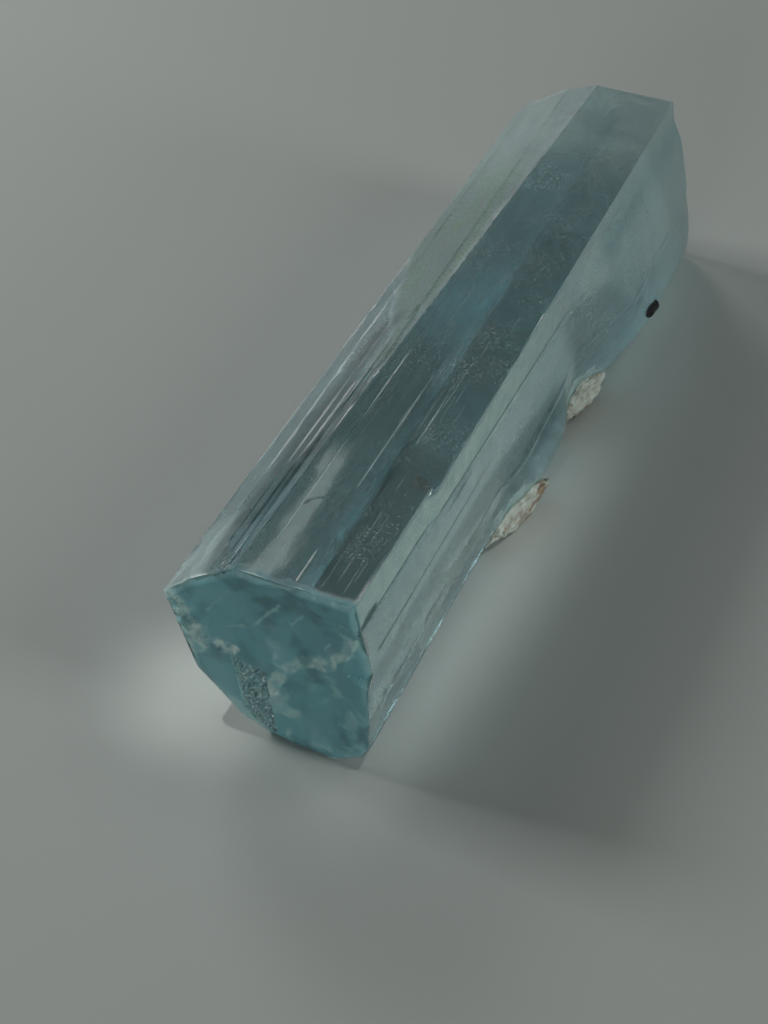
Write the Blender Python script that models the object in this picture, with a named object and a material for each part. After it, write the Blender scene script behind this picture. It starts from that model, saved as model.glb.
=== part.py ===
"""Aquamarine crystal: a broken six-sided beryl prism lying on one of its long faces.

The crystal runs along +Y, from its fractured end to its bevelled termination, and rests on Z = 0.
The pieces are modelled in millimetres, with X = 0 in the middle of the fractured end and Y = 0 in
its plane. The last step parents them to an empty that scales them to metres and puts the origin
in the middle of the footprint.
"""

import math
import random
from collections import namedtuple

import bmesh
import bpy
from mathutils import Matrix, Vector, noise

MM = 0.001  # one millimetre in metres
NAME = "aquamarine_crystal"

# Driving dimensions of the prism
LENGTH = 40.4
HEIGHT = 9.27
STOCK = 120.0
WELD = 0.002
BEVEL_DEPTH = 0.6
BEVEL_ANGLE = 42.0
RIB_INSET = 0.05

# A natural face: the direction it looks in across the prism (degrees from +X towards +Z), a point
# that it passes through at the fractured end, and how far it leans towards the termination.
Face = namedtuple("Face", "turn x z lean")

PRISM_FACES = (
    Face(90.0, 0.0, HEIGHT, 0.0),
    Face(2.2, 4.22, HEIGHT, 0.75),
    Face(0.6, 4.46, 3.2, 0.8),
    Face(-28.5, 4.48, 1.55, 0.4),
    Face(-60.5, 4.1, 0.85, 0.0),
    Face(-90.0, 0.0, 0.0, 0.0),
    Face(-132.0, -0.2, 0.0, 0.0),
    Face(-163.8, -3.3, 2.8, -0.4),
    Face(133.5, -4.45, 6.75, -0.3),
    Face(123.0, -1.15, HEIGHT, 0.0),
    Face(110.8, -1.15, HEIGHT + 0.07, 0.44),
)

# The ridge beside the top face is worn back over this length, down to a small step
WORN_RIDGE_LENGTH = 7.3
WORN_RIDGE_FACE = Face(7.5, 3.85, HEIGHT, 0.0)
WORN_RIDGE_STEP = (0.35, 1.0, 0.2)

# Parallel growth low on the right side: where each rib starts and ends, as slanted planes that
# are given by the heading of their normal in plan (degrees from +X towards +Y) and a point
FIRST_RIB_FACES = (Face(15.0, 5.45, 1.5, 1.2), Face(-40.0, 5.4, 0.7, 1.2))
FIRST_RIB_ENDS = ((-16.0, 4.0, 14.2), (24.0, 4.8, 22.2))
FAR_RIB_FACES = (
    Face(13.0, 6.65, 1.3, 1.3),
    Face(-8.0, 6.6, 1.0, 1.3),
    Face(-45.0, 5.85, 0.3, 0.6),
)
FAR_RIB_ENDS = ((-11.5, 4.15, 24.0),)
RIB_TOP = HEIGHT - 1.5
RIB_ROOT = 2.0

# Shell-shaped scoops in the fractured end: middle across and up, radius of the rim, depth
SCOOPS = (
    (0.7, 7.1, 2.05, 0.6),
    (-1.35, 6.25, 1.9, 0.45),
    (2.95, 7.35, 1.15, 0.3),
    (2.35, 2.95, 1.9, 0.5),
    (0.95, 1.15, 0.95, 0.15),
)

# Flat facets of the fractured end. Each is a list of planes round what broke away: a point across
# and up in the Y = 0 plane, and the way out
SUNK_TRIANGLE = (
    ((-0.15, 0.4), (-0.09, 1.0, -0.17)),
    ((-1.6, 4.4), (0.2, -0.15, 1.0)),
    ((-1.62, 4.2), (-1.0, -0.1, -0.22)),
    ((-1.27, 1.9), (-0.8, -0.1, -0.62)),
    ((0.05, 3.3), (1.0, -0.35, 0.1)),
)
LOWER_LEFT = (((-1.7, 3.0), (0.12, 1.0, 0.04)), ((-1.65, 4.35), (0.3, -0.1, 1.0)))
RIGHT_CORNER = (
    ((3.5, 6.5), (-0.55, 1.0, 0.08)),
    ((4.0, 7.6), (0.5, -0.1, 1.0)),
    ((4.0, 5.2), (-0.5, -0.1, -0.75)),
)
LOWER_RIM = (((0.9, 0.75), (0.05, 1.0, 0.25)), ((-1.4, 0.0), (-1.0, 0.0, 0.0)))
BESIDE = 40.0  # how far to the side the stock of an off-centre wedge stands

# Crushed pits down the left rim of the fractured end: across, along, up, radius
RIM_PITS = (
    (-3.98, -0.12, 6.3, 0.3),
    (-3.9, -0.06, 5.65, 0.26),
    (-3.72, -0.12, 5.0, 0.3),
    (-3.4, -0.05, 4.3, 0.24),
    (-3.3, -0.2, 5.75, 0.36),
    (-2.75, -0.22, 5.15, 0.38),
    (-2.1, -0.2, 4.75, 0.34),
    (-4.62, 0.75, 7.0, 0.26),
)

# Nicks along the ridge between the top and the right side: across, along, up, radius
RIDGE_NICKS = (
    (4.25, 7.5, 9.5, 0.34),
    (4.24, 9.1, 9.4, 0.26),
    (4.22, 10.4, 9.42, 0.28),
    (4.16, 12.9, 9.44, 0.27),
    (4.12, 15.6, 9.4, 0.24),
)

# Long grooves of growth: start and end as (across, along, up), then width. The bars that cut them
# are turned, so that no side of a groove lies flush with a face
GROOVE_TURN = 33.0
GROOVES = (
    ((4.04, -0.5, 7.8), (4.04, 7.4, 7.8), 0.15),
    ((4.18, 7.2, 7.8), (3.98, 25.8, 6.95), 0.15),
    ((-1.62, -0.5, 8.97), (-1.75, 18.2, 8.88), 0.22),
    ((-2.0, -0.5, 8.72), (-2.0, 14.5, 8.72), 0.16),
    ((-2.5, 1.5, 8.4), (-2.5, 21.0, 8.4), 0.14),
    ((-0.45, 2.0, HEIGHT), (-0.45, 17.5, HEIGHT), 0.12),
    ((1.15, 6.0, HEIGHT), (1.15, 15.5, HEIGHT), 0.12),
    ((2.25, 9.5, HEIGHT), (2.25, 16.5, HEIGHT), 0.12),
    ((4.42, 1.0, 6.0), (4.2, 14.0, 6.0), 0.12),
)

# Etched pits low on the right side near the fractured end
ETCH_COUNT = 16
ETCH_REACH = (0.8, 13.0)
ETCH_BAND = (1.8, 4.1)
ETCH_RADII = (0.3, 0.55)
ETCH_DEPTH = 0.1
ETCHED_FACE_AT = 4.47
ETCHED_FACE_LEAN = 0.9

# Fineness of the rounded cutters and of the crusts, in subdivisions of a ball
SCOOP_FINENESS = 5
PIT_FINENESS = 2
CRUST_FINENESS = 4

# Crusts of pale matrix in the angles where the ribs start. Their lumps are given by how many
# there are to a unit and how far they stand out
CRUST_CLEARANCE = 1.012
ENVELOPE_MIDDLE = Vector((0.3, LENGTH / 2, HEIGHT / 2))
COARSE_LUMPS = (2.1, 0.2)
FINE_LUMPS = (5.3, 0.09)
FLOOR_CLEARANCE = 0.06
FIRST_CRUST = {"middle": (4.5, 16.1, 0.78), "half": (0.6, 2.3, 0.9), "heading": -15.0, "seed": 3.0}
SECOND_CRUST = {"middle": (4.42, 24.5, 0.9), "half": (0.66, 2.3, 1.0), "heading": -14.0, "seed": 8.0}

# A dark mineral grain, half sunk in a pocket low on the far rib
GRAIN_MIDDLE = (5.68, 32.3, 1.75)
GRAIN_RADIUS = 0.34
GRAIN_LENGTH = 1.25
GRAIN_EDGE = 0.14
GRAIN_CANT = -12.0
GRAIN_POCKET_SCALE = 1.14

# Colour, roughness and transmission of the materials
AQUAMARINE = ((0.42, 0.66, 0.72), 0.08, 1.0)
MATRIX = ((0.78, 0.7, 0.58), 0.85, 0.0)
DARK_MINERAL = ((0.02, 0.022, 0.02), 0.45, 0.0)


def clear_scene():
    for existing in list(bpy.data.objects):
        bpy.data.objects.remove(existing, do_unlink=True)


def new_collection(name):
    collection = bpy.data.collections.new(name)
    bpy.context.scene.collection.children.link(collection)
    return collection


def new_object(name, mesh, collection):
    """Turns a bmesh into an object of the collection."""
    data = bpy.data.meshes.new(name)
    bmesh.ops.recalc_face_normals(mesh, faces=mesh.faces)
    mesh.to_mesh(data)
    mesh.free()
    made = bpy.data.objects.new(name, data)
    collection.objects.link(made)
    return made


def principled(name, color, roughness, transmission):
    material = bpy.data.materials.new(name)
    material.use_nodes = True
    shader = material.node_tree.nodes["Principled BSDF"]
    shader.inputs["Base Color"].default_value = (*color, 1.0)
    shader.inputs["Roughness"].default_value = roughness
    shader.inputs["Transmission Weight"].default_value = transmission
    material.diffuse_color = (*color, 1.0)
    return material


def face_normal(face):
    turn = math.radians(face.turn)
    lean = math.radians(face.lean)
    across = math.cos(lean)
    return Vector((math.cos(turn) * across, math.sin(lean), math.sin(turn) * across))


def bevel_plane(face):
    """The termination's bevel above a prism face: a point in millimetres and a normal."""
    tilt = math.radians(BEVEL_ANGLE)
    outward = face_normal(face)
    normal = outward * math.cos(tilt) + Vector((0.0, math.sin(tilt), 0.0))
    along = LENGTH - BEVEL_DEPTH
    drift = math.tan(math.radians(face.lean)) * along
    point = Vector((face.x, along, face.z)) - Vector((outward.x, 0.0, outward.z)) * drift
    return point, normal


def cleave(mesh, point, normal):
    """Splits a convex mesh along a plane and keeps the side behind it, closed."""
    geometry = list(mesh.verts) + list(mesh.edges) + list(mesh.faces)
    cut = bmesh.ops.bisect_plane(
        mesh, geom=geometry, plane_co=point, plane_no=normal, dist=1e-6, clear_outer=True
    )
    rim = [part for part in cut["geom_cut"] if isinstance(part, bmesh.types.BMEdge)]
    if rim:
        bmesh.ops.edgeloop_fill(mesh, edges=rim)
    bmesh.ops.dissolve_degenerate(mesh, dist=WELD, edges=mesh.edges)


def block(middle):
    """A cube of stock to cleave, larger than the crystal."""
    mesh = bmesh.new()
    place = Matrix.Translation(middle)
    bmesh.ops.create_cube(mesh, size=STOCK, matrix=place)
    return mesh


def grown_body(faces, beveled, length):
    """A convex crystal body between its faces and the termination."""
    mesh = block(Vector((0.0, LENGTH / 2, 0.0)))
    for face in faces:
        cleave(mesh, Vector((face.x, 0.0, face.z)), face_normal(face))
    cleave(mesh, Vector((0.0, length, 0.0)), Vector((0.0, 1.0, 0.0)))
    for face in beveled:
        cleave(mesh, *bevel_plane(face))
    return mesh


def make_prism(collection):
    mesh = grown_body(PRISM_FACES, PRISM_FACES, LENGTH)
    cleave(mesh, Vector((0.0, 0.0, 0.0)), Vector((0.0, -1.0, 0.0)))
    return new_object("aquamarine", mesh, collection)


def make_rib(name, faces, ends, beveled, collection):
    """A rib of parallel growth, whose root lies inside the prism."""
    shell = (
        Face(90.0, 0.0, RIB_TOP, 0.0),
        Face(180.0, RIB_ROOT, 0.0, 0.0),
        Face(-90.0, 0.0, RIB_INSET, 0.0),
    )
    mesh = grown_body(faces + shell, beveled, LENGTH - RIB_INSET)
    for heading, x, y in ends:
        turn = math.radians(heading)
        cleave(mesh, Vector((x, y, 0.0)), Vector((math.cos(turn), math.sin(turn), 0.0)))
    return new_object(name, mesh, collection)


def as_cutter(tool):
    tool.hide_render = True
    tool.display_type = "WIRE"
    return tool


def add_boolean(target, operation, tool):
    modifier = target.modifiers.new(f"{operation.lower()} {tool.name}", "BOOLEAN")
    modifier.operation = operation
    modifier.solver = "EXACT"
    modifier.object = tool


def ball_cutter(name, middle, radius, subdivisions, collection):
    mesh = bmesh.new()
    place = Matrix.Translation(Vector(middle))
    bmesh.ops.create_icosphere(mesh, subdivisions=subdivisions, radius=radius, matrix=place)
    return as_cutter(new_object(name, mesh, collection))


def scoop_cutter(name, x, z, rim, depth, collection):
    """A ball that leaves a shallow dish of the given rim radius and depth in the Y = 0 plane."""
    radius = (rim * rim + depth * depth) / (2 * depth)
    return ball_cutter(name, (x, depth - radius, z), radius, SCOOP_FINENESS, collection)


def groove_cutter(name, start, end, width, collection):
    """A thin square bar along the line from start to end."""
    first, last = Vector(start), Vector(end)
    run = last - first
    mesh = bmesh.new()
    bmesh.ops.create_cube(mesh, size=1.0)
    flat = Matrix.Diagonal((width, run.length, width, 1.0))
    turned = Matrix.Rotation(math.radians(GROOVE_TURN), 4, "Y")
    heading = run.to_track_quat("Y", "Z").to_matrix().to_4x4()
    mesh.transform(Matrix.Translation((first + last) / 2) @ heading @ turned @ flat)
    return as_cutter(new_object(name, mesh, collection))


def wedge_cutter(name, middle, planes, collection):
    """A convex cutter between planes, each a point and the way out of the cutter."""
    mesh = block(Vector(middle))
    for point, normal in planes:
        cleave(mesh, Vector(point), Vector(normal))
    return as_cutter(new_object(name, mesh, collection))


def worn_ridge_cutter(collection):
    inward = -face_normal(WORN_RIDGE_FACE)
    planes = (
        ((WORN_RIDGE_FACE.x, 0.0, WORN_RIDGE_FACE.z), inward),
        ((WORN_RIDGE_FACE.x, WORN_RIDGE_LENGTH, WORN_RIDGE_FACE.z), WORN_RIDGE_STEP),
    )
    return wedge_cutter("worn_ridge_cutter", (0.0, 0.0, 0.0), planes, collection)


def fracture_wedges(collection):
    """The flat facets of the fractured end."""
    wedges = {
        "sunk_triangle_cutter": (0.0, SUNK_TRIANGLE),
        "lower_left_cutter": (-BESIDE, LOWER_LEFT),
        "right_corner_cutter": (BESIDE, RIGHT_CORNER),
        "lower_rim_cutter": (BESIDE, LOWER_RIM),
    }
    cutters = []
    for name, (across, facet) in wedges.items():
        planes = [((x, 0.0, z), normal) for (x, z), normal in facet]
        cutters.append(wedge_cutter(name, (across, 0.0, 0.0), planes, collection))
    return cutters


def etch_cutters(collection):
    """Shallow dishes scattered over the lower right side."""
    chance = random.Random(11)
    start, end = ETCH_REACH
    cutters = []
    for number in range(ETCH_COUNT):
        along = start + (end - start) * (number + chance.random()) / ETCH_COUNT
        up = chance.uniform(*ETCH_BAND)
        radius = chance.uniform(*ETCH_RADII)
        face_at = ETCHED_FACE_AT - math.tan(math.radians(ETCHED_FACE_LEAN)) * along
        middle = (face_at + radius - ETCH_DEPTH, along, up)
        cutters.append(ball_cutter(f"etch_cutter_{number}", middle, radius, PIT_FINENESS, collection))
    return cutters


def carve_crystal(crystal, cutters):
    """Takes the fracture, the wear and the growth marks out of the crystal."""
    tools = [worn_ridge_cutter(cutters)] + fracture_wedges(cutters)
    for number, (x, z, rim, depth) in enumerate(SCOOPS):
        tools.append(scoop_cutter(f"scoop_cutter_{number}", x, z, rim, depth, cutters))
    for number, (x, y, z, radius) in enumerate(RIM_PITS + RIDGE_NICKS):
        tools.append(ball_cutter(f"nick_cutter_{number}", (x, y, z), radius, PIT_FINENESS, cutters))
    for number, (start, end, width) in enumerate(GROOVES):
        tools.append(groove_cutter(f"groove_cutter_{number}", start, end, width, cutters))
    tools += etch_cutters(cutters)
    for tool in tools:
        add_boolean(crystal, "DIFFERENCE", tool)


def make_crystal(parts, cutters):
    crystal = make_prism(parts)
    ribs = (
        make_rib("first_rib", FIRST_RIB_FACES, FIRST_RIB_ENDS, (), cutters),
        make_rib("far_rib", FAR_RIB_FACES, FAR_RIB_ENDS, FAR_RIB_FACES, cutters),
    )
    for rib in ribs:
        add_boolean(crystal, "UNION", as_cutter(rib))
    carve_crystal(crystal, cutters)
    crystal.data.materials.append(principled("aquamarine", *AQUAMARINE))
    return crystal


def grain_mesh(scale):
    """A stubby six-sided column along Y, with its ends drawn in."""
    mesh = bmesh.new()
    bmesh.ops.create_cone(
        mesh,
        cap_ends=True,
        segments=6,
        radius1=GRAIN_RADIUS * scale,
        radius2=GRAIN_RADIUS * scale,
        depth=GRAIN_LENGTH * scale,
    )
    rims = [edge for edge in mesh.edges if abs(edge.verts[0].co.z - edge.verts[1].co.z) < WELD]
    bmesh.ops.bevel(mesh, geom=rims, offset=GRAIN_EDGE * scale, segments=1, affect="EDGES")
    lay_down = Matrix.Rotation(math.radians(90.0), 4, "X")
    cant = Matrix.Rotation(math.radians(GRAIN_CANT), 4, "X")
    mesh.transform(Matrix.Translation(Vector(GRAIN_MIDDLE)) @ cant @ lay_down)
    return mesh


def make_grain(crystal, parts, cutters):
    """The dark grain, and the pocket that holds it."""
    pocket = as_cutter(new_object("grain_pocket_cutter", grain_mesh(GRAIN_POCKET_SCALE), cutters))
    add_boolean(crystal, "DIFFERENCE", pocket)
    grain = new_object("dark_mineral_grain", grain_mesh(1.0), parts)
    grain.data.materials.append(principled("dark_mineral", *DARK_MINERAL))
    return grain


def crystal_envelope(crystal, cutters):
    """The finished crystal grown a little about its own axis, to keep a crust clear of it."""
    graph = bpy.context.evaluated_depsgraph_get()
    data = bpy.data.meshes.new_from_object(crystal.evaluated_get(graph))
    swell = Matrix.Diagonal((CRUST_CLEARANCE, 1.0, CRUST_CLEARANCE, 1.0))
    data.transform(Matrix.Translation(ENVELOPE_MIDDLE) @ swell @ Matrix.Translation(-ENVELOPE_MIDDLE))
    envelope = bpy.data.objects.new("crystal_envelope", data)
    cutters.objects.link(envelope)
    return as_cutter(envelope)


def lumpy(point, seed):
    """How far a crust stands out at a point of the unit ball."""
    coarse_count, coarse_height = COARSE_LUMPS
    fine_count, fine_height = FINE_LUMPS
    coarse = noise.noise(point * coarse_count + Vector((seed, 0.0, 0.0)))
    fine = noise.noise(point * fine_count + Vector((0.0, seed, 0.0)))
    return 1.0 + coarse_height * coarse + fine_height * fine


def make_crust(name, shape, envelope, material, parts):
    """A lumpy lens of matrix, cut flat above the floor and back from the crystal."""
    mesh = bmesh.new()
    bmesh.ops.create_icosphere(mesh, subdivisions=CRUST_FINENESS, radius=1.0)
    for vertex in mesh.verts:
        vertex.co *= lumpy(vertex.co, shape["seed"])
    size = Matrix.Diagonal((*Vector(shape["half"]), 1.0))
    heading = Matrix.Rotation(math.radians(shape["heading"]), 4, "Z")
    mesh.transform(Matrix.Translation(Vector(shape["middle"])) @ heading @ size)
    cleave(mesh, Vector((0.0, 0.0, FLOOR_CLEARANCE)), Vector((0.0, 0.0, -1.0)))
    crust = new_object(name, mesh, parts)
    add_boolean(crust, "DIFFERENCE", envelope)
    crust.data.materials.append(material)
    return crust


def stand_on_origin(parts, cutters):
    """Moves everything by one parent, so that the origin is the middle of the footprint."""
    graph = bpy.context.evaluated_depsgraph_get()
    corners = []
    for piece in parts.objects:
        evaluated = piece.evaluated_get(graph)
        corners += [evaluated.matrix_world @ Vector(corner) for corner in evaluated.bound_box]
    low = Vector(min(corner[axis] for corner in corners) for axis in range(3))
    high = Vector(max(corner[axis] for corner in corners) for axis in range(3))
    base = bpy.data.objects.new("base", None)
    bpy.context.scene.collection.objects.link(base)
    for piece in list(parts.objects) + list(cutters.objects):
        piece.parent = base
    base.scale = (MM, MM, MM)
    base.location = Vector((-(low.x + high.x) / 2, -(low.y + high.y) / 2, -low.z)) * MM
    bpy.context.view_layer.update()


def main():
    clear_scene()
    parts = new_collection(NAME)
    cutters = new_collection(f"{NAME}_cutters")
    crystal = make_crystal(parts, cutters)
    make_grain(crystal, parts, cutters)
    bpy.context.view_layer.update()
    envelope = crystal_envelope(crystal, cutters)
    pale = principled("matrix", *MATRIX)
    make_crust("matrix_crust_near", FIRST_CRUST, envelope, pale, parts)
    make_crust("matrix_crust_far", SECOND_CRUST, envelope, pale, parts)
    bpy.context.view_layer.update()
    stand_on_origin(parts, cutters)


main()
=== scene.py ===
"""The looks of the aquamarine crystal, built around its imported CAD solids.

Lengths are in millimetres with X = 0 in the middle of the fractured end and Y = 0 in its plane, as
in the part's source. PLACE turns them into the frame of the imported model, in metres.
"""

import math
from collections import namedtuple

import bmesh
import bpy
import numpy as np
from mathutils import Matrix, Vector, geometry, noise
from mathutils.kdtree import KDTree


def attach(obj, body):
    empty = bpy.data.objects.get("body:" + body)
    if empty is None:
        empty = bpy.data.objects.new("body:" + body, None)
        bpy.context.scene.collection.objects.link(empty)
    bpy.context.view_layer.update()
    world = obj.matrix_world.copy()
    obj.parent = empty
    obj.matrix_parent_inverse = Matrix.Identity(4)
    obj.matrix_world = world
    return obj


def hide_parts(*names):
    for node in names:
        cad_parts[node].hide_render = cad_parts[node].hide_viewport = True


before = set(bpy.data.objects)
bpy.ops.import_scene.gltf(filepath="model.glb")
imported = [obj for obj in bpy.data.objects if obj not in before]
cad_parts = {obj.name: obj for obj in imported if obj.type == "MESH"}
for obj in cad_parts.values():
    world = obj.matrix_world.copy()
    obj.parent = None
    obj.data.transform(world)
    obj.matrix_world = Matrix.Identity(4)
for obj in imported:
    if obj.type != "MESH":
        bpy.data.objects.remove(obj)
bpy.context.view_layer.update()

MM = 0.001  # one millimetre in metres
CAP_MIDDLE = Vector((-0.6171, -20.2, 0.0))
PLACE = Matrix.Diagonal((MM, MM, MM, 1.0)) @ Matrix.Translation(CAP_MIDDLE)

# ---------------------------------------------------------------- shape of the crystal, as in CAD

LENGTH = 40.4
HEIGHT = 9.27
BEVEL_DEPTH = 0.6
BEVEL_ANGLE = 42.0
RIB_INSET = 0.05
AXIS_HEIGHT = 4.6

Face = namedtuple("Face", "turn x z lean")

PRISM_FACES = (
    Face(90.0, 0.0, HEIGHT, 0.0),
    Face(2.2, 4.22, HEIGHT, 0.75),
    Face(0.6, 4.46, 3.2, 0.8),
    Face(-28.5, 4.48, 1.55, 0.4),
    Face(-60.5, 4.1, 0.85, 0.0),
    Face(-90.0, 0.0, 0.0, 0.0),
    Face(-132.0, -0.2, 0.0, 0.0),
    Face(-163.8, -3.3, 2.8, -0.4),
    Face(133.5, -4.45, 6.75, -0.3),
    Face(123.0, -1.15, HEIGHT, 0.0),
    Face(110.8, -1.15, HEIGHT + 0.07, 0.44),
)
TOP, RIGHT_UPPER, RIGHT_LOWER, RIGHT_FOOT, RIGHT_TOE, BASE = range(6)
LEFT_FOOT, LEFT, SHOULDER, BROW, FAR_BROW = range(6, 11)
FIRST_BEVEL = 20
FAR_END = 39
FRACTURE = 60
UPPER_LEFT = (SHOULDER, BROW, FAR_BROW)
# The numbers by plane of the prism: its faces, the bevels above them, and the far end
FACE_NUMBERS = np.array([*range(11), *range(FIRST_BEVEL, FIRST_BEVEL + 11), FAR_END])

WORN_RIDGE_LENGTH = 7.3
WORN_RIDGE_FACE = Face(7.5, 3.85, HEIGHT, 0.0)

FIRST_RIB_FACES = (Face(15.0, 5.45, 1.5, 1.2), Face(-40.0, 5.4, 0.7, 1.2))
FIRST_RIB_ENDS = ((-16.0, 4.0, 14.2), (24.0, 4.8, 22.2))
FAR_RIB_FACES = (Face(13.0, 6.65, 1.3, 1.3), Face(-8.0, 6.6, 1.0, 1.3), Face(-45.0, 5.85, 0.3, 0.6))
FAR_RIB_ENDS = ((-11.5, 4.15, 24.0),)
RIB_TOP = HEIGHT - 1.5
RIB_ROOT = 2.0  # how far across the ribs start, inside the prism

# Shell-shaped scoops in the fractured end: middle across and up, radius of the rim, depth
UPPER_SCOOPS = ((0.7, 7.1, 2.05, 0.6), (-1.35, 6.25, 1.9, 0.45), (2.95, 7.35, 1.15, 0.3))
LOWER_SCOOPS = ((2.35, 2.95, 1.9, 0.5), (0.95, 1.15, 0.95, 0.15))

# Flat facets of the fractured end. Each is a list of planes round what broke away: a point in the
# Y = 0 plane and the way out
SUNK_TRIANGLE = (
    ((-0.15, 0.4), (-0.09, 1.0, -0.17)),
    ((-1.6, 4.4), (0.2, -0.15, 1.0)),
    ((-1.62, 4.2), (-1.0, -0.1, -0.22)),
    ((-1.27, 1.9), (-0.8, -0.1, -0.62)),
    ((0.05, 3.3), (1.0, -0.35, 0.1)),
)
LOWER_LEFT = (((-1.7, 3.0), (0.12, 1.0, 0.04)), ((-1.65, 4.35), (0.3, -0.1, 1.0)))
RIGHT_CORNER = (
    ((3.5, 6.5), (-0.55, 1.0, 0.08)),
    ((4.0, 7.6), (0.5, -0.1, 1.0)),
    ((4.0, 5.2), (-0.5, -0.1, -0.75)),
)
LOWER_RIM = (((0.9, 0.75), (0.05, 1.0, 0.25)), ((-1.4, 0.0), (-1.0, 0.0, 0.0)))

# Balls that took material away: across, along, up, radius
RIM_PITS = (
    (-3.98, -0.12, 6.3, 0.3),
    (-3.9, -0.06, 5.65, 0.26),
    (-3.72, -0.12, 5.0, 0.3),
    (-3.4, -0.05, 4.3, 0.24),
    (-3.3, -0.2, 5.75, 0.36),
    (-2.75, -0.22, 5.15, 0.38),
    (-2.1, -0.2, 4.75, 0.34),
    (-4.62, 0.75, 7.0, 0.26),
)
RIDGE_NICKS = (
    (4.25, 7.5, 9.5, 0.34),
    (4.24, 9.1, 9.4, 0.26),
    (4.22, 10.4, 9.42, 0.28),
    (4.16, 12.9, 9.44, 0.27),
    (4.12, 15.6, 9.4, 0.24),
)

# Long grooves of growth: start and end as (across, along, up), then width
GROOVES = (
    ((4.04, -0.5, 7.8), (4.04, 7.4, 7.8), 0.15),
    ((4.18, 7.2, 7.8), (3.98, 25.8, 6.95), 0.15),
    ((-1.62, -0.5, 8.97), (-1.75, 18.2, 8.88), 0.22),
    ((-2.0, -0.5, 8.72), (-2.0, 14.5, 8.72), 0.16),
    ((-2.5, 1.5, 8.4), (-2.5, 21.0, 8.4), 0.14),
    ((-0.45, 2.0, HEIGHT), (-0.45, 17.5, HEIGHT), 0.07),
    ((1.15, 6.0, HEIGHT), (1.15, 15.5, HEIGHT), 0.06),
    ((2.25, 9.5, HEIGHT), (2.25, 16.5, HEIGHT), 0.06),
    ((4.42, 1.0, 6.0), (4.2, 14.0, 6.0), 0.12),
)

# ---------------------------------------------------------------- fineness of the crystal's mesh

COLUMN_SPACING = 0.088
BASE_SPACING = 0.25
RING_SPACINGS = ((8.0, 0.12), (20.0, 0.18), (LENGTH - BEVEL_DEPTH, 0.3))
RIM_BLEND = 1.2
CAP_SPACING = 0.075
SPARKLE_SPACING = 0.045
FAR_CAP_SPACING = 0.35
ANGLE_SAMPLES = 4096

# ---------------------------------------------------------------- noise and blends

NOISE_CELLS = 256
FACET_CELLS = 64


def soft_noise(seed, u, v):
    """Smooth random values from -1 to 1, one for each unit cell of (u, v)."""
    grid = np.random.default_rng(seed).uniform(-1.0, 1.0, (NOISE_CELLS, NOISE_CELLS))
    u, v = np.broadcast_arrays(np.asarray(u, float), np.asarray(v, float))
    left, low = np.floor(u).astype(int), np.floor(v).astype(int)
    across, up = u - left, v - low
    across, up = across * across * (3 - 2 * across), up * up * (3 - 2 * up)
    right, high = (left + 1) % NOISE_CELLS, (low + 1) % NOISE_CELLS
    left, low = left % NOISE_CELLS, low % NOISE_CELLS
    near = grid[left, low] * (1 - across) + grid[right, low] * across
    far = grid[left, high] * (1 - across) + grid[right, high] * across
    return near * (1 - up) + far * up


def layered_noise(seed, u, v, octaves=3):
    total, share = 0.0, 1.0
    for octave in range(octaves):
        total = total + share * soft_noise(seed + octave, u * 2**octave, v * 2**octave)
        share /= 2
    return total


def random_facets(seed, u, v):
    """Height of a surface of small tilted facets, one for each unit cell of (u, v)."""
    chance = np.random.default_rng(seed)
    grid = (FACET_CELLS, FACET_CELLS, 2)
    seeds, tilts = chance.uniform(0.1, 0.9, grid), chance.normal(0.0, 1.0, grid)
    cell_u, cell_v = np.floor(u).astype(int), np.floor(v).astype(int)
    best = np.full(u.shape, np.inf)
    height = np.zeros(u.shape)
    for du in (-1, 0, 1):
        for dv in (-1, 0, 1):
            at = ((cell_u + du) % FACET_CELLS, (cell_v + dv) % FACET_CELLS)
            off_u = u - (cell_u + du) - seeds[at][..., 0]
            off_v = v - (cell_v + dv) - seeds[at][..., 1]
            apart = off_u**2 + off_v**2
            closer = apart < best
            best = np.where(closer, apart, best)
            height = np.where(closer, tilts[at][..., 0] * off_u + tilts[at][..., 1] * off_v, height)
    return height


def smooth_step(value, low, high):
    t = np.clip((value - low) / (high - low), 0.0, 1.0)
    return t * t * (3 - 2 * t)


def smooth_max(values, softness):
    """The largest of the values, with the crossings between them rounded."""
    values = np.stack(values)
    top = values.max(axis=0)
    return top + softness * np.log(np.exp((values - top) / softness).sum(axis=0))


# ---------------------------------------------------------------- the crystal's solid, by rays


def face_plane(face):
    turn, lean = math.radians(face.turn), math.radians(face.lean)
    normal = (math.cos(turn) * math.cos(lean), math.sin(lean), math.sin(turn) * math.cos(lean))
    return (face.x, 0.0, face.z), normal


def bevel_plane(face):
    """The termination's bevel above a prism face."""
    tilt = math.radians(BEVEL_ANGLE)
    along = LENGTH - BEVEL_DEPTH
    drift = math.tan(math.radians(face.lean)) * along
    nx, ny, nz = face_plane(face)[1]
    normal = (nx * math.cos(tilt), ny * math.cos(tilt) + math.sin(tilt), nz * math.cos(tilt))
    return (face.x - nx * drift, along, face.z - nz * drift), normal


def heading_plane(heading, x, y):
    turn = math.radians(heading)
    return (x, y, 0.0), (math.cos(turn), math.sin(turn), 0.0)


def as_planes(pairs):
    """Rows of normal and distance from the origin along it, from pairs of point and way out."""
    rows = []
    for point, normal in pairs:
        length = math.sqrt(sum(part * part for part in normal))
        unit = [part / length for part in normal]
        rows.append((*unit, sum(a * b for a, b in zip(unit, point))))
    return np.array(rows)


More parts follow.
